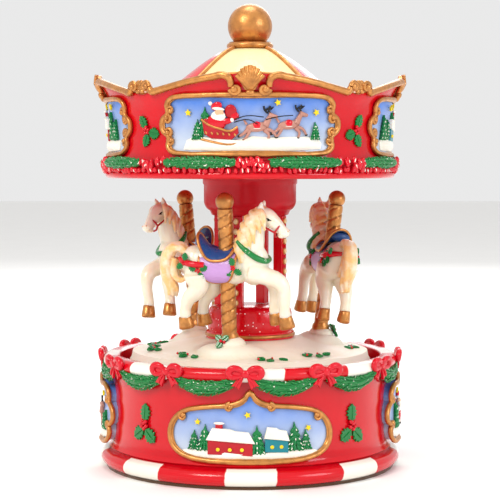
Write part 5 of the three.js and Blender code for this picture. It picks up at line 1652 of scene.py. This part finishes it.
def draped(finish, middle, length_half, drop, out, thickness, lifted=None):
    """A cloth over the back with a rounded hem, and the line of its hem."""
    around = 60
    outline = []
    for step in range(around):
        turn = math.tau * step / around
        x = middle + length_half * math.copysign(abs(math.cos(turn)) ** 0.7, math.cos(turn))
        outline.append((x, drop * math.copysign(abs(math.sin(turn)) ** 0.8, math.sin(turn))))
    shares = (1.0, 0.93, 0.86, 0.78, 0.7, 0.62, 0.54, 0.46, 0.38, 0.3, 0.22, 0.14, 0.06)
    lift = lifted or (lambda point: point)
    cloth = moved(panel(finish, outline, out + thickness, 0.0, shares),
                  lambda point: lift(over_back(point.x, point.y, point.z)))
    hem = [tuple(lift(over_back(x, y, out + thickness * 0.5))) for x, y in outline[::2]]
    return cloth, hem


def saddle_rise(point):
    """The saddle's cantle and pommel curl up from its seat."""
    back = max(0.0, -3.4 - point.x)
    front = max(0.0, point.x - 0.8)
    share = min(1.0, max(0.0, (point.z - 17.5) / 5))
    return Vector((point.x, point.y, point.z + (0.13 * back ** 2 + 0.1 * front ** 2) * share))


def horse_tack():
    """Blanket, saddle, rump band, breast garland and bridle."""
    cloth, hem = draped("lilac", -2.1, 6.4, 12.6, -0.1, 0.85)
    seat, rim = draped("saddle", -2.9, 6.4, 5.3, 0.85, 0.7, saddle_rise)
    parts = [cloth, seat, strand("gold", hem, 0.5, closed=True, sides=3, steps=3),
             strand("gold", rim, 0.5, closed=True, sides=3, steps=3),
             ball("saddle", (-9.0, 0, 27.4), (1.3, 3.4, 1.7), (0, -30, 0))]
    for side in (-1, 1):
        band = [(-6.4, side * 5.2, 20.4), (-9.2, side * 5.55, 20.6), (-11.8, side * 5.3, 20.9),
                (-14.2, side * 3.8, 21.4), (-15.9, side * 1.4, 21.8)]
        parts.append(strand("ribbon", band, 1.0, [1.0, 1.1, 1.1, 1.0, 0.7], sides=3))
        breast = [(4.6, side * 3.4, 28.2), (6.8, side * 4.3, 26.2), (9.4, side * 4.6, 24.2),
                  (12.0, side * 3.8, 22.4),
                  (14.0, side * 1.8, 21.4), (14.3, 0, 21.3)]
        parts.append(strand("garland", breast, 0.95, [0.6, 0.95, 1.05, 1.1, 1.0, 0.9], sides=3))
        cheek = [(11.6, side * 2.35, 37.4), (12.4, side * 2.95, 35.0), (14.0, side * 2.7, 33.0),
                 (16.0, side * 2.5, 31.7), (17.2, side * 2.3, 31.0)]
        parts.append(strand("brick", cheek, 0.34, sides=2))
        nose = [(17.2, side * 2.25, 31.0), (18.1, side * 2.1, 32.2), (18.8, side * 1.2, 33.3),
                (19.0, 0, 33.7)]
        parts.append(strand("brick", nose, 0.34, sides=2))
        chin = [(17.2, side * 2.25, 31.0), (17.1, side * 1.4, 29.7), (17.0, 0, 29.3)]
        parts.append(strand("brick", chin, 0.34, sides=2))
        parts.append(strand("black", [(14.2, side * 2.5, 36.1), (15.2, side * 2.62, 35.5),
                                      (16.3, side * 2.4, 34.9)],
                            0.26, [0.5, 1.2, 0.5], sides=2))
        parts.append(bead("black", (15.3, side * 2.52, 35.2), (0.5, 0.2, 0.42)))
        parts.append(dot("skin", (21.4, side * 0.9, 31.2), (0.3, 0.35, 0.24)))
    return parts


def flank_holly():
    """Holly on both flanks: before and behind the blanket, and by the tail."""
    parts = []
    for side in (-1, 1):
        for x, z, y, turn, size in ((3.6, 19.6, 5.4, 10, 0.66), (-8.4, 18.6, 5.5, 70, 0.66),
                                    (-13.2, 21.2, 5.2, 130, 0.62)):
            sprig = joined("sprig", holly_sprig(0, 0, 0, size))
            sprig.data.transform(Matrix.Translation((x, side * y,
                                                     z)) @ Matrix.Rotation(math.radians(90 * -side), 4, "X")
                                 @ Matrix.Rotation(math.radians(turn), 4, "Z"))
            parts.append(sprig)
    return parts


def hooves():
    parts = []
    for x, side in ((20.5, -1), (15.7, 1)):
        parts.append(hoof(x, side * 2.9, 1.0))
    for x, side in ((-14.2, -1), (-9.6, 1)):
        parts.append(hoof(x, side * 2.9, 0.2))
    return parts


def hoof(x, y, z):
    """A gold-painted hoof, wider at the ground and tipped forward."""
    obj = turned("gold", [(2.0, -2.0), (2.4, -1.7), (2.3, -0.6), (2.1, 0.8), (1.95, 2.0), (1.6, 2.4)], 24)
    obj.data.transform(Matrix.Translation((x, y, z)) @ Matrix.Rotation(math.radians(-10), 4, "Y")
                       @ Matrix.Diagonal((1.12, 0.95, 1, 1)))
    return obj


def horses():
    """Three jumping horses, one on each pole."""
    one = joined("horse", [horse_body(), horse_hair()] + horse_tack() + flank_holly() + hooves())
    for number, angle in enumerate(POLE_ANGLES, 1):
        horse = copied(one, pole_place(angle) @ Matrix.Translation((0, 0, 7)))
        finished(horse, f"painted_horse_{number}", "carousel", "ivory_resin", f"horse_{number}", smooth=70)
    bpy.data.objects.remove(one)


# ---- Materials on the frame's own parts ----


STEEL_PARTS = ("tone_comb", "click_spring", "click_pin", "ratchet_wheel", "click_pawl", "mainspring",
               "drive_spindle",
               "hub_nut", "governor_worm", "cylinder_pinion")


def paint_frame_parts():
    """Give every frame part that stays in view its real finish."""
    c = colours()
    felt = felt_cloth("pressed_felt", c.felt)
    plastic = moulded_plastic("moulded_cover", linear("#1a1a1c"))
    brass = worked_metal("brushed_brass", linear("#c79a4e"), 0.3, 1.2)
    steel = worked_metal("bright_steel", linear("#a9abb0"), 0.26, 0.9)
    for name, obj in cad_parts.items():
        if name.startswith("felt"):
            new = felt
        elif name == "base_cover":
            new = plastic
        elif "screw" in name or "arbor" in name or name in STEEL_PARTS:
            new = steel
        else:
            new = brass
        for slot in obj.material_slots:
            slot.material = new


# ---- Stage, in metres ----

CAMERA_PLACE = (0, -0.5565, 0.1043)
CAMERA_DOWN = 3.063
CAMERA_LENS = 114.7


def area_light(name, place_at, aim, size, power, tint):
    deselect()
    bpy.ops.object.light_add(type="AREA", location=place_at)
    lamp = bpy.context.object
    lamp.name = name
    lamp.data.shape = "DISK"
    lamp.data.size = size
    lamp.data.energy = power
    lamp.data.color = linear(tint)[:3]
    lamp.rotation_euler = (Vector(aim) - Vector(place_at)).to_track_quat("-Z", "Y").to_euler()
    return lamp


@as_material
def pale_paper(tree, shader):
    """Matt studio paper, very slightly mottled."""
    grain = noise(tree, 40.0)
    set_shader(shader, Base_Color=blend(tree, grain, linear("#f6f5f3"), linear("#f1f0ee")), Roughness=0.8)


def build_stage():
    """A pale sweep of paper, soft studio lights and the camera."""
    deselect()
    bpy.ops.mesh.primitive_plane_add(size=8.0)
    floor = bpy.context.object
    floor.name = "paper_sweep"
    floor.data.materials.append(pale_paper("pale_paper"))
    lights = [
        area_light("key_light", (-0.55, -0.75, 0.75), (0, 0, 0.09), 0.4, 6.4, "#fff8f0"),
        area_light("fill_light", (0.75, -0.6, 0.4), (0, 0, 0.08), 0.45, 3.0, "#f4f8ff"),
        area_light("top_light", (0.0, 0.1, 1.0), (0, 0, 0.08), 0.5, 3.6, "#ffffff"),
        area_light("back_light", (0.1, 0.9, 0.55), (0, 0, 0.1), 0.6, 2.6, "#ffffff"),
    ]
    bpy.context.scene.view_settings.view_transform = "Standard"
    world = bpy.context.scene.world or bpy.data.worlds.new("studio")
    bpy.context.scene.world = world
    world.use_nodes = True
    sky = world.node_tree.nodes["Background"]
    sky.inputs["Color"].default_value = linear("#ffffff")
    sky.inputs["Strength"].default_value = 0.82
    deselect()
    bpy.ops.object.camera_add(location=CAMERA_PLACE, rotation=(math.radians(90 - CAMERA_DOWN), 0, 0))
    camera = bpy.context.object
    camera.name = "product_camera"
    camera.data.lens = CAMERA_LENS
    camera.data.sensor_width = 36
    camera.data.dof.use_dof = False
    bpy.context.scene.camera = camera


# ---- Operators and panel ----


class CarouselBuild:
    """What every operator of the add-on shares."""
    bl_options = {"REGISTER", "UNDO"}
    steps = ()

    def execute(self, context):
        if not paints_by_name:
            paints()
        for step in self.steps:
            step()
        return {"FINISHED"}


class CAROUSEL_OT_base(CarouselBuild, bpy.types.Operator):
    """Build the painted base with its garlands and pictures"""
    bl_idname = "carousel.base"
    bl_label = "Build base"
    steps = (base_casting, base_garlands, base_pictures)


class CAROUSEL_OT_deck(CarouselBuild, bpy.types.Operator):
    """Build the snow deck and the column"""
    bl_idname = "carousel.deck"
    bl_label = "Build deck and column"
    steps = (snow_deck, deck_holly, column, column_posts)


class CAROUSEL_OT_canopy(CarouselBuild, bpy.types.Operator):
    """Build the canopy, its gold shells, pictures, garland, roof and finial"""
    bl_idname = "carousel.canopy"
    bl_label = "Build canopy"
    steps = (canopy_soffit, canopy_fascia, canopy_gold, canopy_pictures, canopy_roof, neck_and_finial)


class CAROUSEL_OT_horses(CarouselBuild, bpy.types.Operator):
    """Build the three horses and their poles"""
    bl_idname = "carousel.horses"
    bl_label = "Build horses and poles"
    steps = (lambda: pole(1), lambda: pole(2), lambda: pole(3), horses)


class CAROUSEL_OT_movement(CarouselBuild, bpy.types.Operator):
    """Give the movement, the key and the underside their finishes"""
    bl_idname = "carousel.movement"
    bl_label = "Paint movement"
    steps = (paint_frame_parts,)


class CAROUSEL_OT_stage(CarouselBuild, bpy.types.Operator):
    """Set the floor, the lights and the camera"""
    bl_idname = "carousel.stage"
    bl_label = "Build stage"
    steps = (build_stage,)


BUILDERS = (CAROUSEL_OT_base, CAROUSEL_OT_deck, CAROUSEL_OT_canopy, CAROUSEL_OT_horses, CAROUSEL_OT_movement,
            CAROUSEL_OT_stage)


class CAROUSEL_PT_panel(bpy.types.Panel):
    """Lists the carousel's build steps, colours and sizes"""
    bl_idname = "CAROUSEL_PT_panel"
    bl_label = "Musical carousel"
    bl_space_type = "VIEW_3D"
    bl_region_type = "UI"
    bl_category = "Carousel"

    def draw(self, context):
        column = self.layout.column()
        for builder in BUILDERS:
            column.operator(builder.bl_idname)
        for group in (context.scene.carousel_colours, context.scene.carousel_sizes):
            for name in group.__annotations__:
                column.prop(group, name)


CLASSES = (CarouselColours, CarouselSizes) + BUILDERS + (CAROUSEL_PT_panel,)


def register():
    for each in CLASSES:
        bpy.utils.register_class(each)
    bpy.types.Scene.carousel_colours = bpy.props.PointerProperty(type=CarouselColours)
    bpy.types.Scene.carousel_sizes = bpy.props.PointerProperty(type=CarouselSizes)


def unregister():
    del bpy.types.Scene.carousel_sizes
    del bpy.types.Scene.carousel_colours
    for each in reversed(CLASSES):
        bpy.utils.unregister_class(each)


def main():
    register()
    bpy.ops.carousel.base()
    bpy.ops.carousel.deck()
    bpy.ops.carousel.canopy()
    bpy.ops.carousel.horses()
    bpy.ops.carousel.movement()
    bpy.ops.carousel.stage()


if __name__ == "__main__":
    main()
